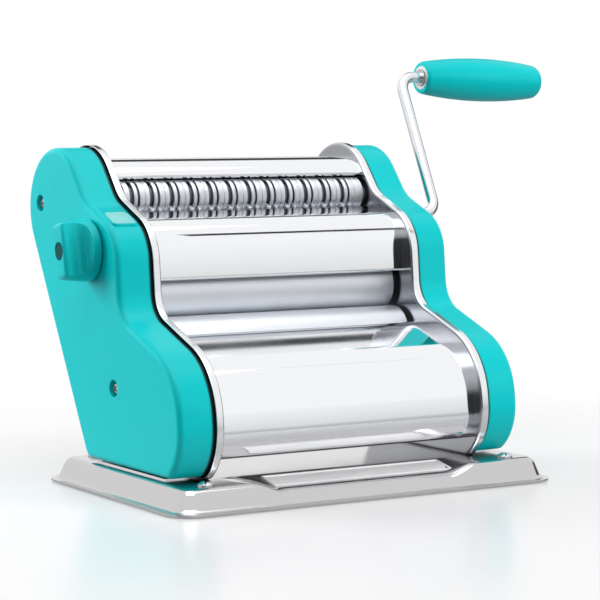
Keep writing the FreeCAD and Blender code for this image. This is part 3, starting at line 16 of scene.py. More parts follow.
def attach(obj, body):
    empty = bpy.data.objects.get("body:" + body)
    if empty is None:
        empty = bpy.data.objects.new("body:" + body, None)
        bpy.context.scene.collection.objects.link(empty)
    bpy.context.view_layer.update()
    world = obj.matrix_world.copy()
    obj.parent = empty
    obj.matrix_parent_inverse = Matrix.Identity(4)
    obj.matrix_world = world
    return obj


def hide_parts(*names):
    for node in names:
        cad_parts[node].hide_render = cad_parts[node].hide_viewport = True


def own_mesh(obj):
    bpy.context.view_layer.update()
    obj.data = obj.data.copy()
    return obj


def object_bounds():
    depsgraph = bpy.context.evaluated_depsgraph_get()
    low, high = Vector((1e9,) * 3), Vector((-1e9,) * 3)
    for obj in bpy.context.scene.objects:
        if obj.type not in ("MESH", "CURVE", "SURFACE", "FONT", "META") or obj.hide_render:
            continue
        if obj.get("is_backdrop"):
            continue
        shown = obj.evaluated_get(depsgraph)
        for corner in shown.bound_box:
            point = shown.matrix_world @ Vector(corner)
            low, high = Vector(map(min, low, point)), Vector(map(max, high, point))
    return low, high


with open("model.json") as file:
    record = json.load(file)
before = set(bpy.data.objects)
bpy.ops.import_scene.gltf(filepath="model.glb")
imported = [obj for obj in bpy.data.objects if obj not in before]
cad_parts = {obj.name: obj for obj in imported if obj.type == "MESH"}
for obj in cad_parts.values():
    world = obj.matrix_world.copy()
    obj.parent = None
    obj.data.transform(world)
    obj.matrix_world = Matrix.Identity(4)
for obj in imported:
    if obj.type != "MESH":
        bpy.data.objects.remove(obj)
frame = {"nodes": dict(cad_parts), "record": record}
cad_low, cad_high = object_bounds()
nodes = frame["nodes"]
MM = 0.001

# %% [markdown]
# Camera
# The photograph was taken from the front left, a little above the tray, through a long lens, so upright
# lines stay upright. The place, the heading and the lens come from fitting the tray and the plates to the
# picture.

# %% Camera
CAMERA_PLACE = Vector((-0.8158, -1.3629, 0.2478))
CAMERA_AZIMUTH = math.radians(-30.948)
CAMERA_ELEVATION = math.radians(4.303)
CAMERA_ROLL = math.radians(-0.28)
LENS_LENGTH = 135.39
SENSOR_WIDTH = 36


def in_scene(name, data):
    """A new object in the scene that shows a mesh, a lamp, a text or a camera."""
    made = bpy.data.objects.new(name, data)
    bpy.context.scene.collection.objects.link(made)
    return made


camera_data = bpy.data.cameras.new("camera")
camera_data.lens = LENS_LENGTH
camera_data.sensor_width = SENSOR_WIDTH
camera = in_scene("camera", camera_data)
level = math.cos(CAMERA_ELEVATION)
backward = Vector((math.sin(CAMERA_AZIMUTH) * level,
                   -math.cos(CAMERA_AZIMUTH) * level,
                   math.sin(CAMERA_ELEVATION)))
camera.location = CAMERA_PLACE
camera.rotation_mode = "QUATERNION"
camera.rotation_quaternion = (-backward).to_track_quat("-Z", "Y") @ Quaternion((0, 0, 1), CAMERA_ROLL)
bpy.context.scene.camera = camera
bpy.context.scene.view_settings.view_transform = "Standard"
print("camera", [round(value, 3) for value in camera.location])

# %% [markdown]
# Light
# Bright metal shows its surroundings, so the studio matters as much as the finish. Soft light falls from
# above, from the left behind the machine and from the right before it, so the edge between two lit faces
# stays darker. Mirrors see white walls, a greyer table far off, the overhead lamp and a few dark flags, which
# draw the dark lines along the bright edges. The camera itself sees plain white.

# %% World
WHITE = (1, 1, 1, 1)
SKY_ABOVE = 0.22
SKY_BELOW = 0.05
SKY_LIMITS = (-0.3, 0.4)
TABLE_GREY = 0.5
TABLE_LIMITS = (-0.1, 0.14)
FLAG_DARK = 0.06
# A flag has the direction of its middle and the two cosines between which it turns dark.
FLAGS = {
    "left_front": ((-0.85, -0.52, 0.05), (0.86, 0.95)),
    "right": ((1.0, 0.05, 0.0), (0.90, 0.96)),
    "front": ((-0.51, -0.86, -0.05), (0.95, 0.985)),
    "behind": ((0.50, 0.72, 0.48), (0.965, 0.985)),
}


def node(tree, kind, links, values=None, **settings):
    """A new node with settings, constant inputs and the sockets that feed it; the result is its outputs."""
    made = tree.nodes.new(kind)
    for name, value in settings.items():
        setattr(made, name, value)
    for socket, value in (values or {}).items():
        made.inputs[socket].default_value = value
    for socket, source in links.items():
        tree.links.new(source, made.inputs[socket])
    return made.outputs


def ranged(tree, value, limits, results=(0.0, 1.0), way="SMOOTHSTEP"):
    """A value that goes from one result to the other while its source goes between two limits."""
    ends = dict(zip(("From Min", "From Max", "To Min", "To Max"), (*limits, *results)))
    return node(tree, "ShaderNodeMapRange", {"Value": value}, ends, interpolation_type=way)["Result"]


world = bpy.data.worlds.new("studio")
bpy.context.scene.world = world
world.use_nodes = True
sky = world.node_tree
sky.nodes.clear()
direction = sky.nodes.new("ShaderNodeTexCoord").outputs["Generated"]
height = node(sky, "ShaderNodeSeparateXYZ", {0: direction})["Z"]
mirror_view = ranged(sky, height, TABLE_LIMITS, (TABLE_GREY, 1.0))
for way, edge in FLAGS.values():
    centre = Vector(way).normalized()
    facing = node(sky, "ShaderNodeVectorMath", {0: direction}, {1: centre}, operation="DOT_PRODUCT")
    flag = ranged(sky, facing["Value"], edge, (1.0, FLAG_DARK))
    mirror_view = node(sky, "ShaderNodeMath", {0: mirror_view, 1: flag}, operation="MULTIPLY")[0]
falling = ranged(sky, height, SKY_LIMITS, (SKY_BELOW, SKY_ABOVE))
rays = sky.nodes.new("ShaderNodeLightPath").outputs
either = {0: rays["Is Glossy Ray"], 1: rays["Is Transmission Ray"]}
mirrored = node(sky, "ShaderNodeMath", either, operation="MAXIMUM")[0]
soft = node(sky, "ShaderNodeBackground", {"Strength": falling}, {"Color": WHITE})[0]
walls = node(sky, "ShaderNodeBackground", {"Strength": mirror_view}, {"Color": WHITE})[0]
paper = node(sky, "ShaderNodeBackground", {}, {"Color": WHITE, "Strength": 1.0})[0]
around = node(sky, "ShaderNodeMixShader", {0: mirrored, 1: soft, 2: walls})[0]
seen = node(sky, "ShaderNodeMixShader", {0: rays["Is Camera Ray"], 1: around, 2: paper})[0]
node(sky, "ShaderNodeOutputWorld", {"Surface": seen})
print("world:", len(sky.nodes), "nodes, flags:", list(FLAGS))

# %% Lamps
# A lamp has its place, the point it is aimed at, its side and its power.
LAMPS = {
    "overhead": ((-0.2, -0.3, 1.6), (0, 0, 0.1), 1.6, 16),
    "left_back": ((-1.3, 1.3, 0.7), (0, 0, 0.12), 1.1, 36),
    "front_right": ((1.2, -1.5, 0.8), (0, 0, 0.12), 1.1, 27),
}
MIRRORED_LAMP = "overhead"

for name, (place, target, side, power) in LAMPS.items():
    lamp_data = bpy.data.lights.new(name, "AREA")
    lamp_data.size = side
    lamp_data.energy = power
    lamp = in_scene(name, lamp_data)
    lamp.location = place
    lamp.rotation_euler = (Vector(target) - Vector(place)).to_track_quat("-Z", "Y").to_euler()
    lamp.visible_glossy = name == MIRRORED_LAMP
print("lamps:", list(LAMPS))

# %% [markdown]
# Finishes
# Every finish is a small node tree on Object coordinates, so it stays with its piece when the machine moves.
# A value that is the same all over sits on the shader itself; what varies, such as grain, smears and fine
# scratches, comes from noise. A few helpers are enough for all of them.

# %% Finish helpers
NOISE_LIMITS = (0.3, 0.7)


def parts_of(material):
    return material.node_tree, material.node_tree.nodes["Principled BSDF"]


def new_finish(name, colour, metallic=0.0, roughness=0.5):
    material = bpy.data.materials.new(name)
    material.use_nodes = True
    tree, shader = parts_of(material)
    shader.inputs["Base Color"].default_value = (*colour, 1)
    shader.inputs["Metallic"].default_value = metallic
    shader.inputs["Roughness"].default_value = roughness
    return material, tree, shader


def noise(tree, stretch, scale, detail=2.0):
    """A noise value on Object coordinates, stretched by a factor for each axis."""
    place = tree.nodes.new("ShaderNodeTexCoord").outputs["Object"]
    mapping = node(tree, "ShaderNodeMapping", {"Vector": place}, {"Scale": stretch})
    size = {"Scale": scale, "Detail": detail}
    return node(tree, "ShaderNodeTexNoise", {"Vector": mapping["Vector"]}, size)["Fac"]


def spread(tree, value, low, high, socket):
    """Send a noise value to a socket, spread between two limits."""
    tree.links.new(ranged(tree, value, NOISE_LIMITS, (low, high), "LINEAR"), socket)


def tint(tree, value, shader, first, second):
    """Let the colour drift between two close tones."""
    tones = tree.nodes.new("ShaderNodeValToRGB")
    tree.links.new(value, tones.inputs["Fac"])
    for stop, limit, tone in zip(tones.color_ramp.elements, NOISE_LIMITS, (first, second)):
        stop.position = limit
        stop.color = (*tone, 1)
    tree.links.new(tones.outputs["Color"], shader.inputs["Base Color"])


def relief(tree, value, shader, strength, depth):
    """A fine surface relief from a noise value, with its depth in millimetres."""
    bump = node(tree, "ShaderNodeBump", {"Height": value}, {"Strength": strength, "Distance": depth * MM})
    tree.links.new(bump["Normal"], shader.inputs["Normal"])


print("finish helpers ready")

# %% [markdown]
# Bright plate, steel and plastic
# The plates and covers are bright plated sheet: nearly a mirror, with faint smears. The tray is the same
# sheet, drawn in a press, so it is a little duller. Rollers and cutters are ground across their axis and read
# as pale grey. The covers, the knob and the grip are one moulded plastic with a soft gloss and a fine grain.

# %% Kinds of finish
EVEN = (1, 1, 1)
ALONG_X = (0.04, 1, 1)
AROUND_X = (1, 0.04, 0.04)
# Patterns give a noise its stretch, scale and detail, and reliefs have a strength and a depth. The grain of
# steel gets its stretch from the piece.
SMEARS = (EVEN, 14, 4)
SHEET_LINES = (ALONG_X, 1400)
SHEET_RELIEF = (0.03, 0.02)
STEEL_TONES = (EVEN, 30, 3)
STEEL_GRAIN = (1800, 3)
STEEL_RELIEF = (0.08, 0.02)
PLASTIC_TONES = (EVEN, 9, 3)
PLASTIC_GLOSS = (EVEN, 60, 4)
PLASTIC_SPECULAR = 0.22
PLASTIC_GRAIN_DEPTH = 0.03
GLOSS_BELOW = 0.04
GLOSS_ABOVE = 0.05


def bright_plate(name, colour, low, high):
    material, tree, shader = new_finish(name, colour, metallic=1.0)
    spread(tree, noise(tree, *SMEARS), low, high, shader.inputs["Roughness"])
    relief(tree, noise(tree, *SHEET_LINES), shader, *SHEET_RELIEF)
    return material


def ground_steel(name, first, second, low, high, stretch):
    material, tree, shader = new_finish(name, first, metallic=1.0)
    grain = noise(tree, stretch, *STEEL_GRAIN)
    spread(tree, grain, low, high, shader.inputs["Roughness"])
    tint(tree, noise(tree, *STEEL_TONES), shader, first, second)
    relief(tree, grain, shader, *STEEL_RELIEF)
    return material


def moulded(name, first, second, roughness, grain_scale=1600, grain=0.05):
    material, tree, shader = new_finish(name, first)
    shader.inputs["Specular IOR Level"].default_value = PLASTIC_SPECULAR
    tint(tree, noise(tree, *PLASTIC_TONES), shader, first, second)
    gloss = noise(tree, *PLASTIC_GLOSS)
    spread(tree, gloss, roughness - GLOSS_BELOW, roughness + GLOSS_ABOVE, shader.inputs["Roughness"])
    relief(tree, noise(tree, EVEN, grain_scale), shader, grain, PLASTIC_GRAIN_DEPTH)
    return material


def grained(name, colour, roughness, scale, strength, depth):
    """One colour all over, with a fine even grain."""
    material, tree, shader = new_finish(name, colour, roughness=roughness)
    relief(tree, noise(tree, EVEN, scale), shader, strength, depth)
    return material


print("kinds of finish ready")

# %% Painted shade by place


def darkened(material, measure, limits, dark):
    """Paint shade into a finish where a measure of the place, in millimetres, is small: a gap under a flange
    or a groove.
    """
    tree, shader = parts_of(material)
    base = shader.inputs["Base Color"]
    place = tree.nodes.new("ShaderNodeTexCoord").outputs["Object"]
    light = ranged(tree, measure(tree, place), [limit * MM for limit in limits])
    tones = {"Factor": light, "B": base.links[0].from_socket}
    mix = node(tree, "ShaderNodeMix", tones, {"A": (*dark, 1)}, data_type="RGBA")
    tree.links.new(mix["Result"], base)


def from_middle(tree, place):
    """How far a point is from the machine's middle plane."""
    across = node(tree, "ShaderNodeSeparateXYZ", {0: place})["X"]
    return node(tree, "ShaderNodeMath", {0: across}, operation="ABSOLUTE")[0]


def from_axis(axis):
    """How far a point is from a line along X, given by its y and z."""
    def measure(tree, place):
        flat = node(tree, "ShaderNodeVectorMath", {0: place}, {1: (0, 1, 1)}, operation="MULTIPLY")
        centre = (0, axis[0] * MM, axis[1] * MM)
        away = node(tree, "ShaderNodeVectorMath", {0: flat[0]}, {1: centre}, operation="DISTANCE")
        return away["Value"]
    return measure


print("shade by place ready")

# %% Finishes
TEAL = (0.0, 0.555, 0.575)
TEAL_LIGHT = (0.0, 0.585, 0.605)
# Plates: a colour and the limits of the roughness.
PLATES = {
    "chrome_sheet": ((0.90, 0.91, 0.93), 0.05, 0.09),
    "tray_steel": ((0.60, 0.59, 0.595), 0.10, 0.16),
    "plate_sheet": ((0.86, 0.87, 0.89), 0.16, 0.22),
    "rod_plate": ((0.80, 0.82, 0.86), 0.18, 0.24),
}
# Steels: two tones, the limits of the roughness and the way of the grain.
STEELS = {
    "roller_steel": ((0.78, 0.81, 0.85), (0.81, 0.84, 0.88), 0.42, 0.5, AROUND_X),
    "fastener_steel": ((0.60, 0.60, 0.61), (0.68, 0.68, 0.69), 0.25, 0.35, EVEN),
    "gear_steel": ((0.42, 0.42, 0.43), (0.52, 0.52, 0.52), 0.3, 0.42, EVEN),
}
# Plastics: two tones and a roughness, and for rubber a grain of its own.
PLASTICS = {
    "teal_plastic": (TEAL, TEAL_LIGHT, 0.36),
    "cover_plastic": (TEAL, TEAL_LIGHT, 0.36),
    # The next finish is painted shade for the screw and spring deep in the knob's bore, not a plastic of the
    # machine.
    "dark_teal": ((0.0, 0.06, 0.065), (0.0, 0.07, 0.075), 0.5),
    "black_rubber": ((0.02, 0.02, 0.02), (0.03, 0.03, 0.03), 0.75, 900, 0.2),
    "bush_plastic": ((0.78, 0.77, 0.72), (0.82, 0.81, 0.77), 0.5),
    "drum_plastic": ((0.83, 0.83, 0.81), (0.86, 0.86, 0.85), 0.45),
    "pale_plastic": ((0.74, 0.73, 0.70), (0.80, 0.79, 0.76), 0.4),
}
# The window: a colour, a roughness, and the scale, strength and depth of its grain.
WINDOW = ((0.40, 0.95, 0.95), 0.3, 400, 0.02, 0.02)
WINDOW_OPTICS = {"Alpha": 0.65, "Specular IOR Level": 0.25, "IOR": 1.49}
# Painted shade: the covers turn near black where they run in under the flanges, by distance from the middle
# plane.
PAINTED_GAP_SHADE = (110.5, 112.5)
PAINTED_GAP_SHADE_TONE = (0.0, 0.006, 0.008)
# Painted shade: the plates' inner web faces, towards the rollers, are darker grey.
PAINTED_WEB_SHADE = (103.1, 104.2)
PAINTED_WEB_SHADE_TONE = (0.46, 0.47, 0.50)
WEB_SMEARS = (EVEN, 20, 3)
BEND_TONES = ((0.85, 0.86, 0.88), (0.88, 0.89, 0.91))
# The sunk screw at the bottom of the knob's bore is given painted shade in place of its steel.
SUNK_SCREW = "dial_screw"

finishes = {"window_clear": grained("window_clear", *WINDOW)}
for make, recipes in ((bright_plate, PLATES), (ground_steel, STEELS), (moulded, PLASTICS)):
    for name, recipe in recipes.items():
        finishes[name] = make(name, *recipe)
for socket, value in WINDOW_OPTICS.items():
    parts_of(finishes["window_clear"])[1].inputs[socket].default_value = value
# Painted shade on the covers' edge where it runs in under the flanges.
darkened(finishes["cover_plastic"], from_middle, PAINTED_GAP_SHADE, PAINTED_GAP_SHADE_TONE)
plate_tree, plate_shader = parts_of(finishes["plate_sheet"])
tint(plate_tree, noise(plate_tree, *WEB_SMEARS), plate_shader, *BEND_TONES)
# Painted shade on the plates' inner web faces.
darkened(finishes["plate_sheet"], from_middle, PAINTED_WEB_SHADE, PAINTED_WEB_SHADE_TONE)
# The sunk dial screw takes the painted bore shade instead of its own finish.
for entry in frame["record"]["subparts"]:
    sunk = entry["node"] == SUNK_SCREW
    skeleton = nodes[entry["node"]]
    skeleton.data.materials.clear()
    skeleton.data.materials.append(finishes["dark_teal" if sunk else entry["material_slot"]])
print("finishes:", sorted(finishes))

# %% [markdown]
# Paths with rounded corners
# Almost every form here is a side view drawn out along the rollers, or a profile turned about an axis. Both
# start from a few corners, each with its own rounding, so one function turns corners into a fine path and
# another moves a path sideways by a sheet's thickness. Arcs get steps by angle alone: then a path and its
# moved copy have the same number of points, and a skin between them needs no matching.

# %% Path helpers
ARC_STEP = math.radians(4)


def cross(first, second):
    return first.x * second.y - first.y * second.x


def rounded_path(corners, closed=False):
    """Points through corners given as (across, up, radius), rounded as far as there is room."""
    count = len(corners)
    points = [Vector(corner[:2]) for corner in corners]
    halves = [0.0] * count
    reaches = [0.0] * count
    for index in range(count) if closed else range(1, count - 1):
        back = points[index - 1] - points[index]
        onward = points[(index + 1) % count] - points[index]
        halves[index] = back.angle(onward) / 2
        reaches[index] = corners[index][2] / math.tan(halves[index])
    fits = [1.0] * count
    for index in range(count if closed else count - 1):
        following = (index + 1) % count
        wanted = reaches[index] + reaches[following]
        room = (points[following] - points[index]).length
        if wanted > room:
            fits[index] = min(fits[index], room / wanted)
            fits[following] = min(fits[following], room / wanted)
    path = []
    for index, point in enumerate(points):
        if halves[index] == 0:
            path.append(point)
            continue
        back = (points[index - 1] - point).normalized()
        onward = (points[(index + 1) % count] - point).normalized()
        radius = reaches[index] * fits[index] * math.tan(halves[index])
        middle = point + (back + onward).normalized() * (radius / math.sin(halves[index]))
        spoke = point + back * reaches[index] * fits[index] - middle
        sweep = math.copysign(math.pi - 2 * halves[index], cross(-back, onward))
        steps = max(1, math.ceil(abs(sweep) / ARC_STEP))
        for step in range(steps + 1):
            path.append(middle + Matrix.Rotation(sweep * step / steps, 2) @ spoke)
    return path


def shifted(corners, distance, closed=False):
    """Move every straight run of a path to its left, and its roundings with it."""
    count = len(corners)
    points = [Vector(corner[:2]) for corner in corners]
    runs = []
    for index in range(count if closed else count - 1):
        way = (points[(index + 1) % count] - points[index]).normalized()
        runs.append((points[index] + Vector((-way.y, way.x)) * distance, way))
    moved = []
    for index, corner in enumerate(corners):
        radius = corner[2]
        if not closed and index in (0, count - 1):
            way = runs[min(index, count - 2)][1]
            place = points[index] + Vector((-way.y, way.x)) * distance
            moved.append((place.x, place.y, radius))
            continue
        start, way = runs[index - 1]
        other, onward = runs[index]
        turn = cross(way, onward)
        place = start + way * (cross(other - start, onward) / turn)
        moved.append((place.x, place.y, max(radius - math.copysign(distance, turn), 0) if radius else 0))
    return moved


print("path helpers ready")

# %% [markdown]
# From points to pieces
# A skin joins rows of points with quads, a fill closes a flat outline and leaves its holes open, and a lathe
# turns a profile. Finishing merges the doubles, points the faces outwards and keeps only real corners sharp,
# so that long curves shine without facets. A finished piece then takes the place of its CAD piece.

# %% Shapes from points
HOLE_STEPS = 32
LATHE_STEPS = 72
FINE_STEPS = 96


def skin(bm, rows):
    """Join closed rows of points with quads, and return their vertices."""
    made = [[bm.verts.new(point * MM) for point in row] for row in rows]
    for lower, upper in zip(made, made[1:]):
        for index in range(len(lower)):
            following = (index + 1) % len(lower)
            bm.faces.new((lower[index], lower[following], upper[following], upper[index]))
    return made


def capped(bm, rows):
    """A skin that is closed at its first and last row."""
    made = skin(bm, rows)
    bm.faces.new(made[0])
    bm.faces.new(made[-1])


def fill(bm, rings):
    """Close a flat outline; further rings stay open as holes."""
    edges = []
    for ring in rings:
        for first, second in zip(ring, ring[1:] + ring[:1]):
            edges.append(bm.edges.get((first, second)) or bm.edges.new((first, second)))
    bmesh.ops.triangle_fill(bm, edges=edges, use_beauty=True)


def circle(x, place, radius, steps=HOLE_STEPS):
    """A ring of points about a line along X."""
    ring = []
    for step in range(steps):
        angle = 2 * math.pi * step / steps
        ring.append(Vector((x, place[0] + radius * math.cos(angle), place[1] + radius * math.sin(angle))))
    return ring


def lathe(bm, corners, place, steps):
    """Turn a profile with corners at (x, radius, rounding) about a line along X."""
    skin(bm, [circle(x, place, radius, steps) for x, radius in rounded_path(corners)])


print("shape helpers ready")

# %% Pieces from shapes
SHARP = math.radians(32)
WELD = 1e-6
UPRIGHT = Matrix.Rotation(math.radians(-90), 4, "Y")


def finished(name, bm, material, seat=Matrix()):
    """Turn a bmesh into an object in its seat, with clean faces and smooth curves."""
    bmesh.ops.transform(bm, matrix=seat, verts=bm.verts)
    bmesh.ops.remove_doubles(bm, verts=bm.verts, dist=WELD)
    bmesh.ops.dissolve_degenerate(bm, edges=bm.edges, dist=WELD)
    bmesh.ops.recalc_face_normals(bm, faces=bm.faces)
    for face in bm.faces:
        face.smooth = True
    for edge in bm.edges:
        edge.smooth = len(edge.link_faces) == 2 and edge.calc_face_angle() < SHARP
    mesh = bpy.data.meshes.new(name)
    bm.to_mesh(mesh)
    bm.free()
    mesh.materials.append(material)
    return in_scene(name, mesh)


def turned(name, corners, material, place=(0, 0), steps=LATHE_STEPS, seat=Matrix()):
    """A piece from the lathe, set in its seat."""
    bm = bmesh.new()
    lathe(bm, corners, place, steps)
    return finished(name, bm, material, seat)


def refinished(name, piece, material, seat=Matrix()):
    """Finish the mesh of a cut or grown piece anew, set in its seat, and remove the old piece."""
    bm = bmesh.new()
    bm.from_mesh(piece.data)
    bpy.data.objects.remove(piece)
    return finished(name, bm, material, seat)


def settled(piece):
    """Put the result of a piece's modifiers into its mesh and remove them."""
    bpy.context.view_layer.update()
    graph = bpy.context.evaluated_depsgraph_get()
    mesh = bpy.data.meshes.new_from_object(piece.evaluated_get(graph))
    piece.modifiers.clear()
    piece.data = mesh
    return piece


def stand_in(piece, body, slot, *replaced):
    """Let a piece ride on its body in place of the CAD pieces that it stands for."""
    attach(piece, body)
    if replaced:
        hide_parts(*replaced)
    print(piece.name, "faces:", len(piece.data.polygons), "on", body)
    return piece


print("piece helpers ready")

# %% [markdown]
# Side plates
# Each side is one steel blank, bent outwards all along its outline to a narrow flange, with a wide foot
# bolted to the tray. The rounded bend catches a white line all the way round, which is the first thing one
# sees of the machine. The section of web, bend and flange is drawn once and carried round the outline.

# %% Places on the plates
TRAY_TOP = 17.0
# The outline has corners at (y, z, rounding); the other places are (y, z).
OUTLINE = [(93, 238.3, 44), (62.5, 201.5, 30), (12.5, 180.5, 35), (7.7, 124, 22), (-74, 93.5, 53),
           (-80.5, 33.5, 46), (-60, TRAY_TOP, 12), (65.5, TRAY_TOP, 12), (192.3, 238.3, 46)]
DIAL = (54, 165.3)
DRIVE = (67.478, 183.678)
LOWER_ROLLER = (28.5, 98.5)
UPPER_ROLLER = (48.75, 133.574)
FRONT_CUTTER = (83.6, 199.8)
REAR_CUTTER = (105.623, 205.701)
UPPER_SCREW = (136, 196)
RIGHT_SCREW = (0, 55)
LEFT_SCREW = (20, 72)
TIES = [(-40, 55), (42, 42), (106, 138), (136, 210)]
IDLERS = [(77.007, 155.812), (74.028, 115.071)]
print("outline corners:", len(OUTLINE))

# %% Side plates
PLATE_IN = 103.0
PLATE_OUT = 104.5
FLANGE_END = 109.0
FLANGE_SHEET = 1.0
FLANGE_ROUND = FLANGE_SHEET / 2.2
BEND = 2.0
WEB_START = BEND + 2.0
FOOT_END = 132.0
FOOT_FRONT = -48.0
FOOT_BACK = 53.5
FOOT_TOP = TRAY_TOP + FLANGE_SHEET
BUSH_HOLE = 7.05
CUTTER_HOLE = 6.05
DIAL_HOLE = 5.55
SCREW_HOLE = 3.0
STUD_HOLE = 4.0
SLIDE_ANGLE = math.radians(60)
SLOT_HALF = 9.6
SLOT_TRAVEL = 3.2


def side_loop(x, inset):
    """The plate's outline, moved inwards and placed along X."""
    return [Vector((x, *point)) for point in rounded_path(shifted(OUTLINE, inset, True), True)]


def slot_ring(x):
    """The window in the web that the upper roller's slider moves in."""
    along = Vector((math.cos(SLIDE_ANGLE), math.sin(SLIDE_ANGLE)))
    across = Vector((-along.y, along.x))
    middle = Vector(UPPER_ROLLER)
    far = SLOT_HALF + SLOT_TRAVEL
    corners = ((-SLOT_HALF, -SLOT_HALF), (far, -SLOT_HALF), (far, SLOT_HALF), (-SLOT_HALF, SLOT_HALF))
    return [Vector((x, *(middle + along * a + across * b))) for a, b in corners]


def side_plate(name, side, holes, replaced):
    bm = bmesh.new()
    section = rounded_path([(WEB_START, PLATE_IN, 0), (0, PLATE_IN, BEND), (0, FLANGE_END, FLANGE_ROUND),
                            (FLANGE_SHEET, FLANGE_END, FLANGE_ROUND), (FLANGE_SHEET, PLATE_OUT, BEND / 2),
                            (WEB_START, PLATE_OUT, 0)])
    rows = skin(bm, [side_loop(side * x, inset) for inset, x in section])
    web = (side * PLATE_IN, side * PLATE_OUT)
    ends = [skin(bm, [circle(x, place, radius) for x in web]) for place, radius in holes]
    ends.append(skin(bm, [slot_ring(x) for x in web]))
    fill(bm, [rows[0]] + [end[0] for end in ends])
    fill(bm, [rows[-1]] + [end[1] for end in ends])
    foot = ((FOOT_FRONT, TRAY_TOP), (FOOT_BACK, TRAY_TOP), (FOOT_BACK, FOOT_TOP), (FOOT_FRONT, FOOT_TOP))
    capped(bm, [[Vector((side * x, *corner)) for corner in foot] for x in (FLANGE_END, FOOT_END)])
    stand_in(finished(name, bm, finishes["plate_sheet"]), "frame", "chrome_sheet", replaced)


shared = [(LOWER_ROLLER, BUSH_HOLE), (FRONT_CUTTER, CUTTER_HOLE), (REAR_CUTTER, CUTTER_HOLE),
          (DIAL, DIAL_HOLE), (UPPER_SCREW, SCREW_HOLE)] + [(tie, STUD_HOLE) for tie in TIES]
right_only = [(DRIVE, BUSH_HOLE), (RIGHT_SCREW, SCREW_HOLE)] + [(idler, STUD_HOLE) for idler in IDLERS]
left_only = [(LEFT_SCREW, SCREW_HOLE)]
side_plate("bright_right_plate", 1, shared + right_only, "right_plate")
side_plate("bright_left_plate", -1, shared + left_only, "left_plate")

# %% [markdown]
# Moulded side covers
# The covers are deep shells of glossy plastic that sit just inside the flanges, with a narrow gap between
# metal and plastic that painted shade on the covers' edge makes dark. Their outer edge is rounded, their
# screws are sunk in cups, and the left one carries a small round window. The shell is a section carried round
# the same outline; the cups are turned.

# %% Side covers
COVER_INSET = 2.2
COVER_WALL = 2.0
COVER_OUT = 136.0
COVER_EDGE = 4.5
FACE_START = COVER_INSET + COVER_EDGE + 2
CUP_RADIUS = 6.0
CUP_FLOOR = COVER_OUT - 6.0
CUP_LIP = 0.7
CUP_STEPS = 48
SHANK_RADIUS = 2.0
DRIVE_EYE = 7.0
DIAL_EYE = 4.5


def side_cover(name, side, screws, shaft, eye):
    bm = bmesh.new()
    inside = COVER_INSET + COVER_WALL
    back = COVER_OUT - COVER_WALL
    outer = rounded_path([(COVER_INSET, PLATE_OUT, 0), (COVER_INSET, COVER_OUT, COVER_EDGE),
                          (FACE_START, COVER_OUT, 0)])
    inner = rounded_path([(FACE_START, back, 0), (inside, back, COVER_EDGE - COVER_WALL),
                          (inside, PLATE_OUT, 0)])
    rows = skin(bm, [side_loop(side * x, inset) for inset, x in inner + outer])
    under = CUP_FLOOR - COVER_WALL
    cup = rounded_path([(CUP_RADIUS + 2 * CUP_LIP, COVER_OUT, 0), (CUP_RADIUS, COVER_OUT, CUP_LIP),
                        (CUP_RADIUS, CUP_FLOOR, CUP_LIP), (SHANK_RADIUS, CUP_FLOOR, 0),
                        (SHANK_RADIUS, under, 0), (CUP_RADIUS + COVER_WALL, under, 0),
                        (CUP_RADIUS + COVER_WALL, back, 0)])
    ends = [skin(bm, [circle(side * x, place, radius, CUP_STEPS) for radius, x in cup]) for place in screws]
    ends.append(skin(bm, [circle(side * x, shaft, eye) for x in (COVER_OUT, back)]))
    fill(bm, [rows[-1]] + [end[0] for end in ends])
    fill(bm, [rows[0]] + [end[-1] for end in ends])
    return finished(name, bm, finishes["cover_plastic"])


right_cover = side_cover("moulded_right_cover", 1, [UPPER_SCREW, RIGHT_SCREW], DRIVE, DRIVE_EYE)
left_cover = side_cover("moulded_left_cover", -1, [UPPER_SCREW, LEFT_SCREW], DIAL, DIAL_EYE)
stand_in(right_cover, "frame", "teal_plastic", "right_cover")

# %% [markdown]
# Dial window
# A raised pad on the left cover's sloping rim carries a clear plate with a round magnifying dome over the
# numbers on the drum. The pad is a rounded block joined to the shell with a Boolean, a turned plug opens the
# wall under the lens, and the clear plate is a thin block and a turned dome.

# %% Blocks and Booleans
LEAST_CORNER = 0.3


def rectangle_ring(half, corner, inset, height):
    """A rounded rectangle in X and Y, moved inwards and lifted to a height."""
    across = half[0] - inset
    along = half[1] - inset
    corners = [(across, -along), (across, along), (-across, along), (-across, -along)]
    ring = rounded_path([(*place, max(corner - inset, LEAST_CORNER)) for place in corners], True)
    return [Vector((*point, height)) for point in ring]


def block(name, half, corner, profile, seat, material):
    """A rounded block from rings given as (inset, height), set in its seat."""
    bm = bmesh.new()
    capped(bm, [rectangle_ring(half, corner, inset, height) for inset, height in profile])
    return finished(name, bm, material, seat)


def combine(piece, other, how):
    """Cut or join with another solid, which is then removed."""
    step = piece.modifiers.new("combine", "BOOLEAN")
    step.operation = how
    step.solver = "EXACT"
    step.object = other
    settled(piece)
    bpy.data.objects.remove(other)


print("block helpers ready")

# %% Dial window
WINDOW_SHIFT = 9.5
WINDOW_RADIUS = 6.0
WINDOW_RISE = 0.8
OPENING_DEPTH = 3 * COVER_WALL
PAD_HALF = (9.5, 10.0)
PAD_CORNER = 4.0
PAD_EDGE = 0.5
PANE_INSET = 1.0
PANE_TOP = WINDOW_RISE + 0.35
PANE_EDGE = 0.15
DOME_RADIUS = WINDOW_RADIUS - 0.1
DOME_RISE = 1.1
# Corners of the dome: a share of its rise, a share of the window's radius and a rounding.
DOME = [(0.5, 0.82, 3), (1, 0.3, 6), (1, 0, 0)]
DRUM_MIDDLE = 122.2
NECK = Vector(OUTLINE[1][:2])

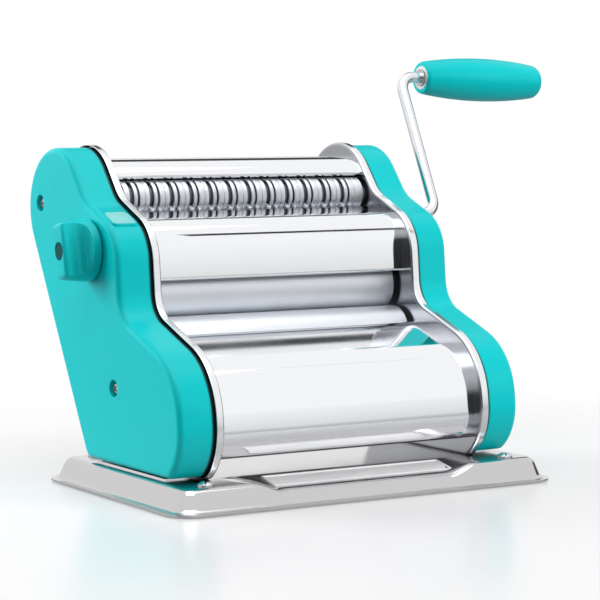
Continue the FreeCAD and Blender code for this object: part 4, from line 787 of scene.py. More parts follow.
rim_way = (NECK - Vector(OUTLINE[2][:2])).normalized()
rim_out = Vector((-rim_way.y, rim_way.x))
rim_depth = (NECK - rim_out * COVER_INSET - Vector(DIAL)).dot(rim_out)
window_foot = Vector(DIAL) + rim_out * rim_depth - rim_way * WINDOW_SHIFT
rim_axes = Matrix((Vector((1, 0, 0)), Vector((0, *rim_way)), Vector((0, *rim_out)))).transposed().to_4x4()
on_rim = Matrix.Translation(Vector((-DRUM_MIDDLE, *window_foot)) * MM) @ rim_axes

pad_profile = [(0, -COVER_WALL), (0, WINDOW_RISE - PAD_EDGE), (PAD_EDGE, WINDOW_RISE)]
pad = block("window_pad", PAD_HALF, PAD_CORNER, pad_profile, on_rim, finishes["cover_plastic"])
combine(left_cover, pad, "UNION")
plug_profile = [(-OPENING_DEPTH, 0, 0), (-OPENING_DEPTH, WINDOW_RADIUS, 0),
                (OPENING_DEPTH, WINDOW_RADIUS, 0), (OPENING_DEPTH, 0, 0)]
plug = turned("window_opening", plug_profile, finishes["cover_plastic"], seat=on_rim @ UPRIGHT)
combine(left_cover, plug, "DIFFERENCE")
stand_in(left_cover, "frame", "teal_plastic", "left_cover")

pane_profile = [(PANE_INSET, WINDOW_RISE), (PANE_INSET, PANE_TOP - PANE_EDGE),
                (PANE_INSET + PANE_EDGE, PANE_TOP)]
pane = block("clear_window", PAD_HALF, PAD_CORNER, pane_profile, on_rim, finishes["window_clear"])
dome_profile = [(-COVER_WALL, 0, 0), (-COVER_WALL, DOME_RADIUS, 0), (PANE_TOP, DOME_RADIUS, 0)]
for rise, share, rounding in DOME:
    dome_profile.append((PANE_TOP + rise * DOME_RISE, share * WINDOW_RADIUS, rounding))
dome = turned("dome", dome_profile, finishes["window_clear"], seat=on_rim @ UPRIGHT)
combine(pane, dome, "UNION")
stand_in(pane, "frame", "window_clear", "dial_window")

# %% [markdown]
# Bent bright covers
# Three sheets span from plate to plate: the hood over the cutters, the upper front cover and the big round
# lower one. Each is a bent strip, so its side view is a path and a copy of it one sheet further in.

# %% Bent covers
SHEET = 1.0
FOLD = 2 * SHEET
LIP = 4.5
# Side views of the sheets, with corners at (y, z, rounding).
HOOD_SIDE = [(143, 227.6 - LIP, 0), (143, 227.6, FOLD), (85, 227.6, 22), (77.5, 213.6, FOLD),
             (77.5 + LIP, 213.4, 0)]
UPPER_SIDE = [(64, 190.6, 0), (25.5, 184, 22), (22.5, 144.7, FOLD), (22.5 + LIP, 143.7, 0)]
LOWER_TOP = [(9.2, 107.8, 0), (-6, 109, 25)]
LOWER_INSET = 9.5
LOWER_END = 30.0


def bent_sheet(name, corners, replaced):
    bm = bmesh.new()
    outer = rounded_path(corners)
    inner = rounded_path(shifted(corners, SHEET))
    ends = skin(bm, [[Vector((x, *point)) for point in outer + inner[::-1]] for x in (-PLATE_IN, PLATE_IN)])
    for end in ends:
        for index in range(len(outer) - 1):
            bm.faces.new((end[index], end[index + 1], end[-index - 2], end[-index - 1]))
    stand_in(finished(name, bm, finishes["chrome_sheet"]), "frame", "chrome_sheet", replaced)


bent_sheet("bright_hood", HOOD_SIDE, "top_cover")
bent_sheet("bright_upper_cover", UPPER_SIDE, "upper_front_cover")
belly, toe, sole = shifted(OUTLINE, LOWER_INSET, True)[4:7]
to_end = (LOWER_END - toe[1]) / (sole[1] - toe[1])
lower_edge = (toe[0] + to_end * (sole[0] - toe[0]), LOWER_END, 0)
bent_sheet("bright_lower_cover", LOWER_TOP + [belly, toe, lower_edge], "lower_front_cover")

# %% [markdown]
# Pressed tray
# The tray is drawn from one sheet: a flat lip, a sloping wall and a rounded top edge, with a sloped facet
# pressed into the front. Rings of points climb from the lip to the top; the facet is then pushed down by a
# smooth rule, as the press does it, and a Solidify gives the sheet its thickness.

# %% Pressed tray
TRAY_HALF = (152.0, 104.0)
TRAY_CORNER = 19.0
TRAY_CORNERS = ((1, -1), (1, 1), (-1, 1), (-1, -1))
LEAST_TRAY_CORNER = 0.4
LIP_TOP = 2.2
# The wall's section has corners at an inset and a height; the flat top goes on in rings from there.
TRAY_WALL = [(0.3, LIP_TOP, 0), (5.5, LIP_TOP, 5), (12, TRAY_TOP, 7), (20, TRAY_TOP, 0)]
TOP_INSETS = range(22, 56, 2)
TRAY_SHEET = 1.2
FACET_BACK = -58.0
FACET_FRONT = -99.0
FACET_DROP = 8.0
FACET_HALF = 88.0
FACET_TAPER = 14.0
FACET_BLEND = 24.0
SIDE_STEPS = 110
END_STEPS = 40
CORNER_STEPS = 14


def tray_ring(inset, z):
    """A rounded rectangle round the tray, moved inwards from the lip's edge."""
    half_x = TRAY_HALF[0] - inset
    half_y = TRAY_HALF[1] - inset
    radius = max(TRAY_CORNER - inset, LEAST_TRAY_CORNER)
    middles = [Vector((across * (half_x - radius), up * (half_y - radius))) for across, up in TRAY_CORNERS]
    ring = []
    for corner, middle in enumerate(middles):
        first = math.radians(90 * corner - 90)
        for step in range(CORNER_STEPS + 1):
            angle = first + math.radians(90) * step / CORNER_STEPS
            ring.append(middle + radius * Vector((math.cos(angle), math.sin(angle))))
        runs = END_STEPS if corner % 2 == 0 else SIDE_STEPS
        start = ring[-1]
        turn = math.radians(90 * corner)
        end = middles[(corner + 1) % 4] + radius * Vector((math.cos(turn), math.sin(turn)))
        for step in range(1, runs):
            ring.append(start.lerp(end, step / runs))
    return [Vector((point.x, point.y, z)) for point in ring]


def smooth(value):
    value = min(max(value, 0), 1)
    return value * value * (3 - 2 * value)


def pressed(point):
    """Where the press leaves a point of the plain tray."""
    down = min(max((FACET_BACK - point.y) / (FACET_BACK - FACET_FRONT), 0), 1)
    half = FACET_HALF - FACET_TAPER * down
    within = smooth((half + FACET_BLEND / 2 - abs(point.x)) / FACET_BLEND)
    height = max(point.z - LIP_TOP, 0) / (TRAY_TOP - LIP_TOP)
    return point - Vector((0, 0, FACET_DROP * down * within * height))


bm = bmesh.new()
levels = [tuple(point) for point in rounded_path(TRAY_WALL)] + [(inset, TRAY_TOP) for inset in TOP_INSETS]
rows = skin(bm, [[pressed(point) for point in tray_ring(inset, z)] for inset, z in levels])
bm.faces.new(rows[-1])
tray = finished("pressed_tray", bm, finishes["tray_steel"])
wall = tray.modifiers.new("sheet", "SOLIDIFY")
wall.thickness = TRAY_SHEET * MM
wall.offset = -1
stand_in(settled(tray), "frame", "tray_steel", "base_tray")

# %% [markdown]
# Bare nameplate
# A long plate with a raised border sits on the facet. It stays bare here. The border is a rectangle's section
# carried round, lying on the facet's slope.

# %% Nameplate
PLATE_CENTRE = (3.5, -72.6)
PLATE_HALF = (71.5, 10.2)
PLATE_RISE = 0.9
PLATE_CORNER = 1.5
# The border climbs and falls inwards through rings at (inset, height).
PLATE_BORDER = [(0, -0.6), (0, PLATE_RISE - 0.3), (0.3, PLATE_RISE), (1.2, PLATE_RISE), (2.0, 0.15)]
BRUSHED = ((0.80, 0.80, 0.81), (0.86, 0.86, 0.87), 0.35, 0.5, ALONG_X)
BRUSHED_METALLIC = 0.35

facet_slope = math.atan2(FACET_DROP, FACET_BACK - FACET_FRONT)
seat_z = TRAY_TOP - FACET_DROP * (FACET_BACK - PLATE_CENTRE[1]) / (FACET_BACK - FACET_FRONT)
on_facet = Matrix.Translation(Vector((*PLATE_CENTRE, seat_z)) * MM) @ Matrix.Rotation(facet_slope, 4, "X")
brushed = ground_steel("brushed_plate", *BRUSHED)
parts_of(brushed)[1].inputs["Metallic"].default_value = BRUSHED_METALLIC
nameplate = block("bare_nameplate", PLATE_HALF, PLATE_CORNER, PLATE_BORDER, on_facet, brushed)
stand_in(nameplate, "frame", "fastener_steel")

# %% [markdown]
# Smooth rollers
# The rollers are plain ground bars with turned-down ends. A lathe of a short profile is all they need; a
# small rounding at each shoulder keeps the ends from looking cut out of paper.

# %% Rollers
ROLLER_HALF = 100.0
ROLLER_RADIUS = 20.0
JOURNAL = 5.0
ROLLER_LEFT = -110.0
ROLLER_RIGHT = 129.2
TIP_ROUND = 0.5
NECK_ROUND = 0.3
ROLLER_ROUND = 1.0
ROLLER_PROFILE = [
    (ROLLER_LEFT, 0, 0), (ROLLER_LEFT, JOURNAL, TIP_ROUND), (-ROLLER_HALF, JOURNAL, NECK_ROUND),
    (-ROLLER_HALF, ROLLER_RADIUS, ROLLER_ROUND), (ROLLER_HALF, ROLLER_RADIUS, ROLLER_ROUND),
    (ROLLER_HALF, JOURNAL, NECK_ROUND), (ROLLER_RIGHT, JOURNAL, TIP_ROUND), (ROLLER_RIGHT, 0, 0)]

for name, place in (("lower_roller", LOWER_ROLLER), ("upper_roller", UPPER_ROLLER)):
    roller = turned("ground_" + name, ROLLER_PROFILE, finishes["roller_steel"], place, FINE_STEPS)
    stand_in(roller, name, "roller_steel", name)

# %% [markdown]
# Ring cutters
# Each cutter is a shaft with wide and narrow rings, and the rings of one run in the grooves of the other.
# The same stretch of rings repeats twelve times, so one stretch is turned on the lathe and Geometry Nodes
# lines up the rest, adds the two shaft ends and welds the seams.

# %% Geometry Nodes: a row of repeats


def node_tree(name, inputs):
    """A Geometry Nodes tree with a geometry input and named further inputs, and the outputs of these."""
    tree = bpy.data.node_groups.new(name, "GeometryNodeTree")
    tree.interface.new_socket("Geometry", in_out="INPUT", socket_type="NodeSocketGeometry")
    for label, kind in inputs.items():
        tree.interface.new_socket(label, in_out="INPUT", socket_type="NodeSocket" + kind)
    tree.interface.new_socket("Geometry", in_out="OUTPUT", socket_type="NodeSocketGeometry")
    return tree, tree.nodes.new("NodeGroupInput").outputs


def close_tree(tree, given, shape, weld=None):
    """End a tree: real faces, welded seams where a distance is given, and one finish."""
    shape = node(tree, "GeometryNodeRealizeInstances", {"Geometry": shape})["Geometry"]
    if weld is not None:
        seams = node(tree, "GeometryNodeMergeByDistance", {"Geometry": shape, "Distance": weld})
        shape = seams["Geometry"]
    paint = node(tree, "GeometryNodeSetMaterial", {"Geometry": shape, "Material": given["Finish"]})
    node(tree, "NodeGroupOutput", {"Geometry": paint["Geometry"]})
    print("tree:", tree.name, len(tree.nodes), "nodes")


def grown(piece, tree, values):
    """Run a tree on a piece with values by input name, and keep the result as a plain mesh."""
    step = piece.modifiers.new("grow", "NODES")
    step.node_group = tree
    sockets = {item.name: item.identifier for item in tree.interface.items_tree if item.in_out == "INPUT"}
    for label, value in values.items():
        step[sockets[label]] = value
    return settled(piece)


row_tree, given = node_tree("row_of_repeats", {
    "Stretch": "Object", "Count": "Int", "Start": "Vector", "Step": "Vector", "Weld": "Float",
    "Finish": "Material"})
line = node(row_tree, "GeometryNodeMeshLine", {
    "Count": given["Count"], "Start Location": given["Start"], "Offset": given["Step"]})
stretch = node(row_tree, "GeometryNodeObjectInfo", {"Object": given["Stretch"]})
repeat = node(row_tree, "GeometryNodeInstanceOnPoints", {
    "Points": line["Mesh"], "Instance": stretch["Geometry"]})
both = row_tree.nodes.new("GeometryNodeJoinGeometry")
for shape in (repeat["Instances"], given["Geometry"]):
    row_tree.links.new(shape, both.inputs["Geometry"])
close_tree(row_tree, given, both.outputs["Geometry"], given["Weld"])

# %% Cutters
CUTTER_RADIUS = 12.4
GROOVE_RADIUS = 9.9
CUTTER_JOURNAL = 4.0
CUTTER_RIGHT = 121.7
CUTTER_STEPS = 64
END_ROUND = 0.4
RINGS_HALF = 96.0
REPEATS = 12
PERIOD = 2 * RINGS_HALF / REPEATS
SHOULDER = 0.9
LINE_HALF = 0.3
LINE_FLOOR = CUTTER_RADIUS - 0.5
LINE_ROUND = 0.15
SEAM_WELD = 20 * WELD
FRONT_GROOVES = [(0.01, 3.6), (6.8, 8.2)]
FRONT_LINES = [12.6]
REAR_GROOVES = [(-1, 0.15), (3.45, 6.75), (8.85, PERIOD + 1)]
CUTTER_STEEL = ((0.70, 0.73, 0.77), (0.76, 0.78, 0.82), 0.45, 0.55, AROUND_X)
# Painted shade: the cutters' steel turns dark down in the grooves, by distance from the axis.
PAINTED_GROOVE_SHADE = (GROOVE_RADIUS + 0.3, CUTTER_RADIUS - 0.2)
PAINTED_GROOVE_SHADE_TONE = (0.15, 0.155, 0.18)


def rings(start_radius, grooves, lines):
    """One stretch of the cutter's profile: square-shouldered grooves and fine lines, from left to right."""
    profile = [(0, start_radius, 0)]
    cuts = [(start, end, GROOVE_RADIUS, SHOULDER) for start, end in grooves]
    cuts += [(middle - LINE_HALF, middle + LINE_HALF, LINE_FLOOR, LINE_ROUND) for middle in lines]
    for start, end, radius, rounding in sorted(cuts):
        if start > 0:
            profile += [(start, CUTTER_RADIUS, rounding), (start, radius, 0)]
        if end < PERIOD:
            profile += [(end, radius, 0), (end, CUTTER_RADIUS, rounding)]
    profile.append((PERIOD, start_radius, 0))
    return profile


def ring_cutter(name, place, profile, land):
    steel = ground_steel(name + "_steel", *CUTTER_STEEL)
    # Painted shade in the grooves.
    darkened(steel, from_axis(place), PAINTED_GROOVE_SHADE, PAINTED_GROOVE_SHADE_TONE)
    pattern = turned(name + "_stretch", profile, steel, place, CUTTER_STEPS)
    left_end = [(ROLLER_LEFT, 0, 0), (ROLLER_LEFT, CUTTER_JOURNAL, END_ROUND),
                (-ROLLER_HALF, CUTTER_JOURNAL, 0), (-ROLLER_HALF, land, END_ROUND), (-RINGS_HALF, land, 0)]
    right_end = [(RINGS_HALF, land, 0), (ROLLER_HALF, land, END_ROUND), (ROLLER_HALF, CUTTER_JOURNAL, 0),
                 (CUTTER_RIGHT, CUTTER_JOURNAL, END_ROUND), (CUTTER_RIGHT, 0, 0)]
    bm = bmesh.new()
    lathe(bm, left_end, place, CUTTER_STEPS)
    lathe(bm, right_end, place, CUTTER_STEPS)
    piece = finished("ring_" + name, bm, steel)
    grown(piece, row_tree, {"Stretch": pattern, "Count": REPEATS, "Start": (-RINGS_HALF * MM, 0, 0),
                            "Step": (PERIOD * MM, 0, 0), "Weld": SEAM_WELD, "Finish": steel})
    bpy.data.objects.remove(pattern)
    stand_in(piece, name, "roller_steel", name)


front_profile = rings(CUTTER_RADIUS, FRONT_GROOVES, FRONT_LINES)
rear_profile = rings(GROOVE_RADIUS, REAR_GROOVES, [])
ring_cutter("front_cutter", FRONT_CUTTER, front_profile, CUTTER_RADIUS)
ring_cutter("rear_cutter", REAR_CUTTER, rear_profile, GROOVE_RADIUS)

# %% [markdown]
# Crank rod
# The crank is a plated bar, bent twice. Geometry Nodes does what a bender does: it takes the straight route,
# fillets its corners and sweeps a circle along it.

# %% Geometry Nodes: a bent rod
rod_tree, given = node_tree("bent_rod", {
    "Radius": "Float", "Bend": "Float", "Bend steps": "Int", "Round steps": "Int", "Finish": "Material"})
route = node(rod_tree, "GeometryNodeMeshToCurve", {"Mesh": given["Geometry"]})
bend = node(rod_tree, "GeometryNodeFilletCurve", {
    "Curve": route["Curve"], "Radius": given["Bend"], "Count": given["Bend steps"]}, mode="POLY")
outline = node(rod_tree, "GeometryNodeCurvePrimitiveCircle", {
    "Resolution": given["Round steps"], "Radius": given["Radius"]})
sweep = node(rod_tree, "GeometryNodeCurveToMesh", {
    "Curve": bend["Curve"], "Profile Curve": outline["Curve"]}, {"Fill Caps": True})
close_tree(rod_tree, given, sweep["Mesh"])

# %% Crank rod
ROD_RADIUS = 4.25
ROD_BEND = 12.0
BEND_STEPS = 16
ROUND_STEPS = 40
SOCKET_FLOOR = 119.0
CRANK_PLANE = 164.0
GRIP_CORNER = Vector((CRANK_PLANE, 118.216, 289.104))
GRIP_DROOP = math.radians(1.5)
ROD_REACH = 110.0


def drawn(name, points, edges=(), faces=()):
    """A plain mesh from points in metres and what joins them."""
    mesh = bpy.data.meshes.new(name)
    mesh.from_pydata(points, edges, faces)
    return in_scene(name, mesh)


grip_way = Vector((math.cos(GRIP_DROOP), 0, -math.sin(GRIP_DROOP)))
route_points = [Vector((SOCKET_FLOOR, *DRIVE)), Vector((CRANK_PLANE, *DRIVE)), GRIP_CORNER,
                GRIP_CORNER + grip_way * ROD_REACH]
rod = drawn("plated_crank_rod", [point * MM for point in route_points], [(0, 1), (1, 2), (2, 3)])
grown(rod, rod_tree, {"Radius": ROD_RADIUS * MM, "Bend": ROD_BEND * MM, "Bend steps": BEND_STEPS,
                      "Round steps": ROUND_STEPS, "Finish": finishes["rod_plate"]})
rod = refinished("plated_crank_rod", rod, finishes["rod_plate"])
stand_in(rod, "crank", "chrome_sheet", "crank_rod")

# %% [markdown]
# Grip and ferrule
# The grip is a barrel that swells towards the middle and turns freely on the rod; a pale ferrule closes its
# inner end. Both are turned along X and then set on the rod's drooping end.

# %% Grip
GRIP_NEAR = 20.0
GRIP_END = 132.0
GRIP_END_RADIUS = 12.5
GRIP_BELLY = 17.0
GRIP_BORE = 111.0
BORE_RADIUS = 4.3
NEAR_ROUND = 2.5
FAR_ROUND = 7.0
BARREL_STEPS = 30
FERRULE_END = 23.0
FERRULE_HOLE = 9.4
FERRULE_RADIUS = FERRULE_HOLE - 0.05
FERRULE_STEP = GRIP_NEAR + 2
# Corners of the ferrule's outer face: x, radius and rounding.
FERRULE_FACE = [(FERRULE_STEP, 6, 0), (GRIP_NEAR, 6.4, 0.5), (GRIP_NEAR, FERRULE_RADIUS, 0.6)]


def barrel_radius(share):
    """The grip's radius along its length, from one arc through both ends and the belly."""
    half = (GRIP_END - GRIP_NEAR) / 2
    rise = GRIP_BELLY - GRIP_END_RADIUS
    arc = (half * half + rise * rise) / (2 * rise)
    along = (2 * share - 1) * half
    return GRIP_BELLY - arc + math.sqrt(arc * arc - along * along)


def along_grip(name, profile, slot, replaced):
    on_rod = Matrix.Translation(GRIP_CORNER * MM) @ Matrix.Rotation(GRIP_DROOP, 4, "Y")
    piece = turned(name, profile, finishes[slot], steps=FINE_STEPS, seat=on_rod)
    stand_in(piece, "grip", slot, replaced)


grip_profile = [(GRIP_BORE, 0, 0), (GRIP_BORE, BORE_RADIUS, 0), (FERRULE_END, BORE_RADIUS, 0),
                (FERRULE_END, FERRULE_HOLE, 0), (GRIP_NEAR, FERRULE_HOLE, 0),
                (GRIP_NEAR, GRIP_END_RADIUS, NEAR_ROUND)]
for step in range(2, BARREL_STEPS - 2):
    share = step / BARREL_STEPS
    grip_profile.append((GRIP_NEAR + (GRIP_END - GRIP_NEAR) * share, barrel_radius(share), 0))
grip_profile += [(GRIP_END, GRIP_END_RADIUS, FAR_ROUND), (GRIP_END, 0, 0)]
along_grip("moulded_grip", grip_profile, "teal_plastic", "crank_grip")
ferrule_profile = [(FERRULE_END, BORE_RADIUS, 0), (FERRULE_STEP, BORE_RADIUS, 0)] + FERRULE_FACE
ferrule_profile += [(FERRULE_END, FERRULE_RADIUS, 0), (FERRULE_END, BORE_RADIUS, 0)]
along_grip("pale_ferrule", ferrule_profile, "pale_plastic", "grip_ferrule")

# %% [markdown]
# Dial knob
# The knob is a round cap with a deep scoop on either side, which leaves a bar for the fingers, and a bore
# down the middle for its screw. The cap is turned, the scoops are cut with Booleans as a mill would cut them,
# and a Bevel softens every edge as the mould does.

# %% Dial knob
KNOB_FOOT = 137.0
KNOB_RIM = 141.5
KNOB_END = 160.0
KNOB_RADIUS = 21.5
KNOB_TOP_RADIUS = 19.5
KNOB_FLOOR = 147.0
KNOB_BORE = 6.2
SHAFT_EYE = 3.55
KNOB_PROFILE = [(-KNOB_FOOT, SHAFT_EYE, 0), (-KNOB_FOOT, KNOB_RADIUS, 0.6), (-KNOB_RIM, KNOB_RADIUS, 2),
                (-KNOB_END, KNOB_TOP_RADIUS, 3), (-KNOB_END, KNOB_BORE, 0.8), (-KNOB_FLOOR, KNOB_BORE, 0),
                (-KNOB_FLOOR, SHAFT_EYE, 0), (-KNOB_FOOT, SHAFT_EYE, 0)]
KNOB_TILT = math.radians(-12)
BAR_HALF = 8.0
BAR_ROUND = 3.2
BAR_FLAT = BAR_HALF - BAR_ROUND - 1
FLAT_ROUND = 0.3
SCOOP_DEPTH = 17.0
SCOOP_CORNER = 13.5
SCOOP_LIFT = 0.02
SCOOP_TOP = 4.0
SCOOP_FAR = BAR_HALF + 2 * SCOOP_DEPTH
SCOOP_ENDS = (-2 * SCOOP_DEPTH, 2 * SCOOP_DEPTH)
SCOOP_CORNERS = [
    (BAR_FLAT, SCOOP_TOP, 0), (BAR_FLAT, SCOOP_LIFT, FLAT_ROUND), (BAR_HALF, SCOOP_LIFT, BAR_ROUND),
    (BAR_HALF, -SCOOP_DEPTH, SCOOP_CORNER), (SCOOP_FAR, -SCOOP_DEPTH, SCOOP_CORNER),
    (SCOOP_FAR, SCOOP_TOP, 0)]
SOFT_WIDTH = 0.9
SOFT_SEGMENTS = 3
SOFT_ANGLE = math.radians(40)

knob = turned("moulded_knob", KNOB_PROFILE, finishes["teal_plastic"], DIAL, FINE_STEPS)
scoop_path = rounded_path(SCOOP_CORNERS)
hub = Matrix.Translation(Vector((-KNOB_END, *DIAL)) * MM) @ Matrix.Rotation(KNOB_TILT, 4, "X")
for side in (-1, 1):
    bm = bmesh.new()
    capped(bm, [[Vector((-outward, side * across, z)) for across, outward in scoop_path] for z in SCOOP_ENDS])
    combine(knob, finished("scoop", bm, finishes["teal_plastic"], hub), "DIFFERENCE")
soften = knob.modifiers.new("soften", "BEVEL")
soften.width = SOFT_WIDTH * MM
soften.segments = SOFT_SEGMENTS
soften.limit_method = "ANGLE"
soften.angle_limit = SOFT_ANGLE
knob = refinished("moulded_knob", settled(knob), finishes["teal_plastic"])
stand_in(knob, "knob", "teal_plastic", "dial_knob")

# %% [markdown]
# Knob spring
# A small compression spring sits in the bore, between the knob's floor and the head of the screw. Geometry
# Nodes draws a spiral and sweeps a round wire along it. When the knob is pulled out, its floor presses the
# spring together towards the screw.

# %% Geometry Nodes: a coil spring
COIL_STEPS = 48
WIRE_STEPS = 12

coil_tree, given = node_tree("coil_spring", {
    "Radius": "Float", "Wire": "Float", "Turns": "Float", "Height": "Float", "Finish": "Material"})
coil = node(coil_tree, "GeometryNodeCurveSpiral", {
    "Start Radius": given["Radius"], "End Radius": given["Radius"], "Rotations": given["Turns"],
    "Height": given["Height"]}, {"Resolution": COIL_STEPS})
wire = node(coil_tree, "GeometryNodeCurvePrimitiveCircle", {"Radius": given["Wire"]},
            {"Resolution": WIRE_STEPS})
sweep = node(coil_tree, "GeometryNodeCurveToMesh", {
    "Curve": coil["Curve"], "Profile Curve": wire["Curve"]}, {"Fill Caps": True})
close_tree(coil_tree, given, sweep["Mesh"])

# %% Knob spring
SPRING_RADIUS = 5.1
WIRE_RADIUS = 0.45
SPRING_TURNS = 3.0
SPRING_SEAT = 0.1
SCREW_SEAT = 157.0

wire_start = KNOB_FLOOR + SPRING_SEAT + WIRE_RADIUS
coil_height = SCREW_SEAT - SPRING_SEAT - WIRE_RADIUS - wire_start
spiral = drawn("spiral", [])
# The spring deep in the bore is given painted shade as its finish.
grown(spiral, coil_tree, {"Radius": SPRING_RADIUS * MM, "Wire": WIRE_RADIUS * MM, "Turns": SPRING_TURNS,
                          "Height": coil_height * MM, "Finish": finishes["dark_teal"]})
in_bore = Matrix.Translation(Vector((-wire_start, *DIAL)) * MM) @ UPRIGHT
spring = refinished("coiled_spring", spiral, finishes["dark_teal"], in_bore)
stand_in(spring, "dial", "fastener_steel", "dial_spring")
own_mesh(spring)

# %% [markdown]
# Screws
# Four slotted dome heads hold the feet to the tray, and cross-slotted ones sit deep in the covers' cups. One
# screw of each sort is turned and slotted; Geometry Nodes sets a copy on every point and gives each its own
# turn, from a fixed seed, since no two screws end with their slots in line.

# %% Geometry Nodes: screws on points
FULL_TURN = (0, 0, 2 * math.pi)

set_tree, given = node_tree("screws_on_points", {
    "Screw": "Object", "Aim": "Rotation", "Seed": "Int", "Finish": "Material"})
pattern = node(set_tree, "GeometryNodeObjectInfo", {"Object": given["Screw"]})
placed = node(set_tree, "GeometryNodeInstanceOnPoints", {
    "Points": given["Geometry"], "Instance": pattern["Geometry"], "Rotation": given["Aim"]})
chance = node(set_tree, "FunctionNodeRandomValue", {"Seed": given["Seed"]}, {"Max": FULL_TURN},
              data_type="FLOAT_VECTOR")
spun = node(set_tree, "GeometryNodeRotateInstances", {
    "Instances": placed["Instances"], "Rotation": chance["Value"]})
close_tree(set_tree, given, spun["Instances"])

# %% Screws
SCREW_STEPS = 40
SCREW_LENGTH = 12.0
TIP_EDGE = 0.3
SEAT_EDGE = 0.2
# Corners of the head: a share of its height, a share of its radius and a rounding.
HEAD = [(0, 1, SEAT_EDGE), (0.45, 1, 0.6), (1, 0.55, 2.5), (1, 0, 0)]
SLOT_WIDTH = 1.3
SLOT_LIFT = 0.05
# How far a single slot and a crossed slot reach, in head radii.
SLOT_REACH = {1: 3, 2: 1.1}
FOOT_PLACE = (120, 82)


def screw(name, head_radius, head_height, slots):
    """A domed screw along Z with its seat at the origin and one or two slots in its head."""
    profile = [(-SCREW_LENGTH, 0, 0), (-SCREW_LENGTH, SHANK_RADIUS, TIP_EDGE), (0, SHANK_RADIUS, 0)]
    profile += [(rise * head_height, share * head_radius, rounding) for rise, share, rounding in HEAD]
    piece = turned(name, profile, finishes["fastener_steel"], steps=SCREW_STEPS, seat=UPRIGHT)
    lift = Matrix.Translation((0, 0, (head_height + SLOT_LIFT) * MM))
    shape = Matrix.Diagonal((SLOT_REACH[slots] * head_radius * MM, SLOT_WIDTH * MM, head_height * MM, 1))
    for turn in range(slots):
        bm = bmesh.new()
        bmesh.ops.create_cube(bm, size=1)
        seat = lift @ Matrix.Rotation(math.radians(90 * turn), 4, "Z") @ shape
        combine(piece, finished("slot", bm, finishes["fastener_steel"], seat), "DIFFERENCE")
    return piece


def screws(name, pattern, points, turn, seed, replaced):
    """Set a screw on every point, aimed by a turn about Y."""
    steel = finishes["fastener_steel"]
    piece = drawn(name, [Vector(point) * MM for point in points])
    aim = (0, math.radians(turn), 0)
    grown(piece, set_tree, {"Screw": pattern, "Aim": aim, "Seed": seed, "Finish": steel})
    stand_in(refinished(name, piece, steel), "frame", "fastener_steel", replaced)


foot_screw = screw("foot_screw", head_radius=5.5, head_height=3.0, slots=1)
cover_screw = screw("cover_screw", head_radius=4.9, head_height=4.6, slots=2)
foot_points = [(x * FOOT_PLACE[0], y * FOOT_PLACE[1], TRAY_TOP) for x in (-1, 1) for y in (-1, 1)]
right_points = [(CUP_FLOOR, *UPPER_SCREW), (CUP_FLOOR, *RIGHT_SCREW)]
left_points = [(-CUP_FLOOR, *UPPER_SCREW), (-CUP_FLOOR, *LEFT_SCREW)]
screws("slotted_foot_screws", foot_screw, foot_points, turn=0, seed=4, replaced="foot_screws")
screws("crossed_right_screws", cover_screw, right_points, turn=90, seed=7, replaced="right_cover_screws")
screws("crossed_left_screws", cover_screw, left_points, turn=-90, seed=9, replaced="left_cover_screws")
bpy.data.objects.remove(foot_screw)
bpy.data.objects.remove(cover_screw)

# %% [markdown]
# Numbers on the drum
# A white drum behind the window shows which gap is set. Plain figures stand round it, one for every setting,
# so that the dial's turn brings each in turn under the lens. Each is a text object made into a mesh.

# %% Drum numbers
DRUM_RADIUS = 21.5
SETTINGS = 9
DIAL_RANGE = math.radians(240)
FIGURE_SIZE = 8.0
FIGURE_DEPTH = 0.04
FIGURE_LIFT = 0.02
INK = ((0.02, 0.02, 0.025), 0.5, 900, 0.05, 0.01)

under_lens = math.atan2(window_foot.y - DIAL[1], window_foot.x - DIAL[0])
across = Vector((1, 0, 0))
bm = bmesh.new()
for setting in range(SETTINGS + 1):
    words = bpy.data.curves.new("figure", "FONT")
    words.body = str(setting)
    words.size = FIGURE_SIZE * MM
    words.align_x = "CENTER"
    words.align_y = "CENTER"
    words.extrude = FIGURE_DEPTH * MM
    holder = in_scene("figure", words)
    bpy.context.view_layer.update()
    figure = bpy.data.meshes.new_from_object(holder.evaluated_get(bpy.context.evaluated_depsgraph_get()))
    bpy.data.objects.remove(holder)
    angle = under_lens - DIAL_RANGE * setting / SETTINGS
    outward = Vector((0, math.cos(angle), math.sin(angle)))
    stand = Matrix((across, outward.cross(across), outward)).transposed().to_4x4()
    place = Vector((-DRUM_MIDDLE, *DIAL)) + outward * (DRUM_RADIUS + FIGURE_LIFT)
    figure.transform(Matrix.Translation(place * MM) @ stand)
    bm.from_mesh(figure)
figures = finished("drum_figures", bm, grained("number_ink", *INK))
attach(figures, "dial")
print("figures:", SETTINGS + 1)

# %% [markdown]
# Floor
# The machine stands on a white floor with a faint sheen, which carries a soft shadow and a weak mirror image
# of the tray. The floor fades out a little way off, so no horizon shows. It is only the stage, not part of
# the machine.

# %% Floor
SQUARE = ((-1, -1), (1, -1), (1, 1), (-1, 1))
ONE_FACE = [(0, 1, 2, 3)]
FLOOR_HALF = 1.5
FLOOR_TONE = (0.5, 0.5, 0.51)
FLOOR_ROUGHNESS = 0.25
FLOOR_SHEEN = 0.25
FLOOR_LIFT = 0.28
FADE = (0.26, 0.62)

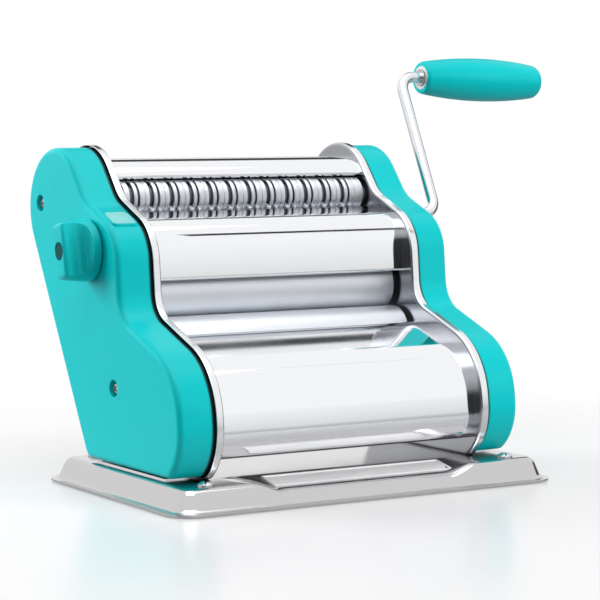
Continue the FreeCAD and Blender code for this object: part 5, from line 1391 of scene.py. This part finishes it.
floor_finish, floor_tree, floor_shader = new_finish("white_floor", FLOOR_TONE, roughness=FLOOR_ROUGHNESS)
floor_shader.inputs["Specular IOR Level"].default_value = FLOOR_SHEEN
floor_shader.inputs["Emission Color"].default_value = WHITE
to_camera = floor_tree.nodes.new("ShaderNodeLightPath").outputs["Is Camera Ray"]
lift = node(floor_tree, "ShaderNodeMath", {0: to_camera}, {1: FLOOR_LIFT}, operation="MULTIPLY")
floor_tree.links.new(lift[0], floor_shader.inputs["Emission Strength"])
floor_place = floor_tree.nodes.new("ShaderNodeTexCoord").outputs["Object"]
far_off = node(floor_tree, "ShaderNodeVectorMath", {0: floor_place}, operation="LENGTH")["Value"]
floor_tree.links.new(ranged(floor_tree, far_off, FADE, (1.0, 0.0)), floor_shader.inputs["Alpha"])
floor = drawn("floor", [(x * FLOOR_HALF, y * FLOOR_HALF, 0) for x, y in SQUARE], faces=ONE_FACE)
floor.data.materials.append(floor_finish)
floor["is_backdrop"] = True
print("floor", 2 * FLOOR_HALF, "m wide")

# %% [markdown]
# Dark card
# The rounded top of the lower cover mirrors the upper cover, and in it the dark side of the studio. A black
# card stands upright before the machine and gives that dark band. It is thin from above, so the belly of the
# lower cover hardly shows it. Only mirrors see the card, and it casts no shadow.

# %% Dark card
CARD_CENTRE = Vector((0.095, -0.06, 0.280))
CARD_HALF = (0.10, 0.015)
CARD_BLACK = ((0.02, 0.02, 0.022), 0.8, 300, 0.1, 0.05)

corners = [CARD_CENTRE + Vector((x * CARD_HALF[0], 0, z * CARD_HALF[1])) for x, z in SQUARE]
card = drawn("card", corners, faces=ONE_FACE)
card.data.materials.append(grained("card_black", *CARD_BLACK))
for kind in ("camera", "diffuse", "transmission", "shadow", "volume_scatter"):
    setattr(card, "visible_" + kind, False)
card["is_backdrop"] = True
print("card", [round(2 * side / MM) for side in CARD_HALF], "mm")

# %% [markdown]
# Size
# The CAD model's box and the dressed machine's box are printed side by side. The dressed machine has to
# stay inside the CAD model's box.

# %% Sizes and finish
low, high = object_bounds()
boxes = {"cad": [list(cad_low), list(cad_high)], "visual": [list(low), list(high)]}
for name, box in boxes.items():
    print(name, "box in mm:", [[round(value / MM, 1) for value in corner] for corner in box])
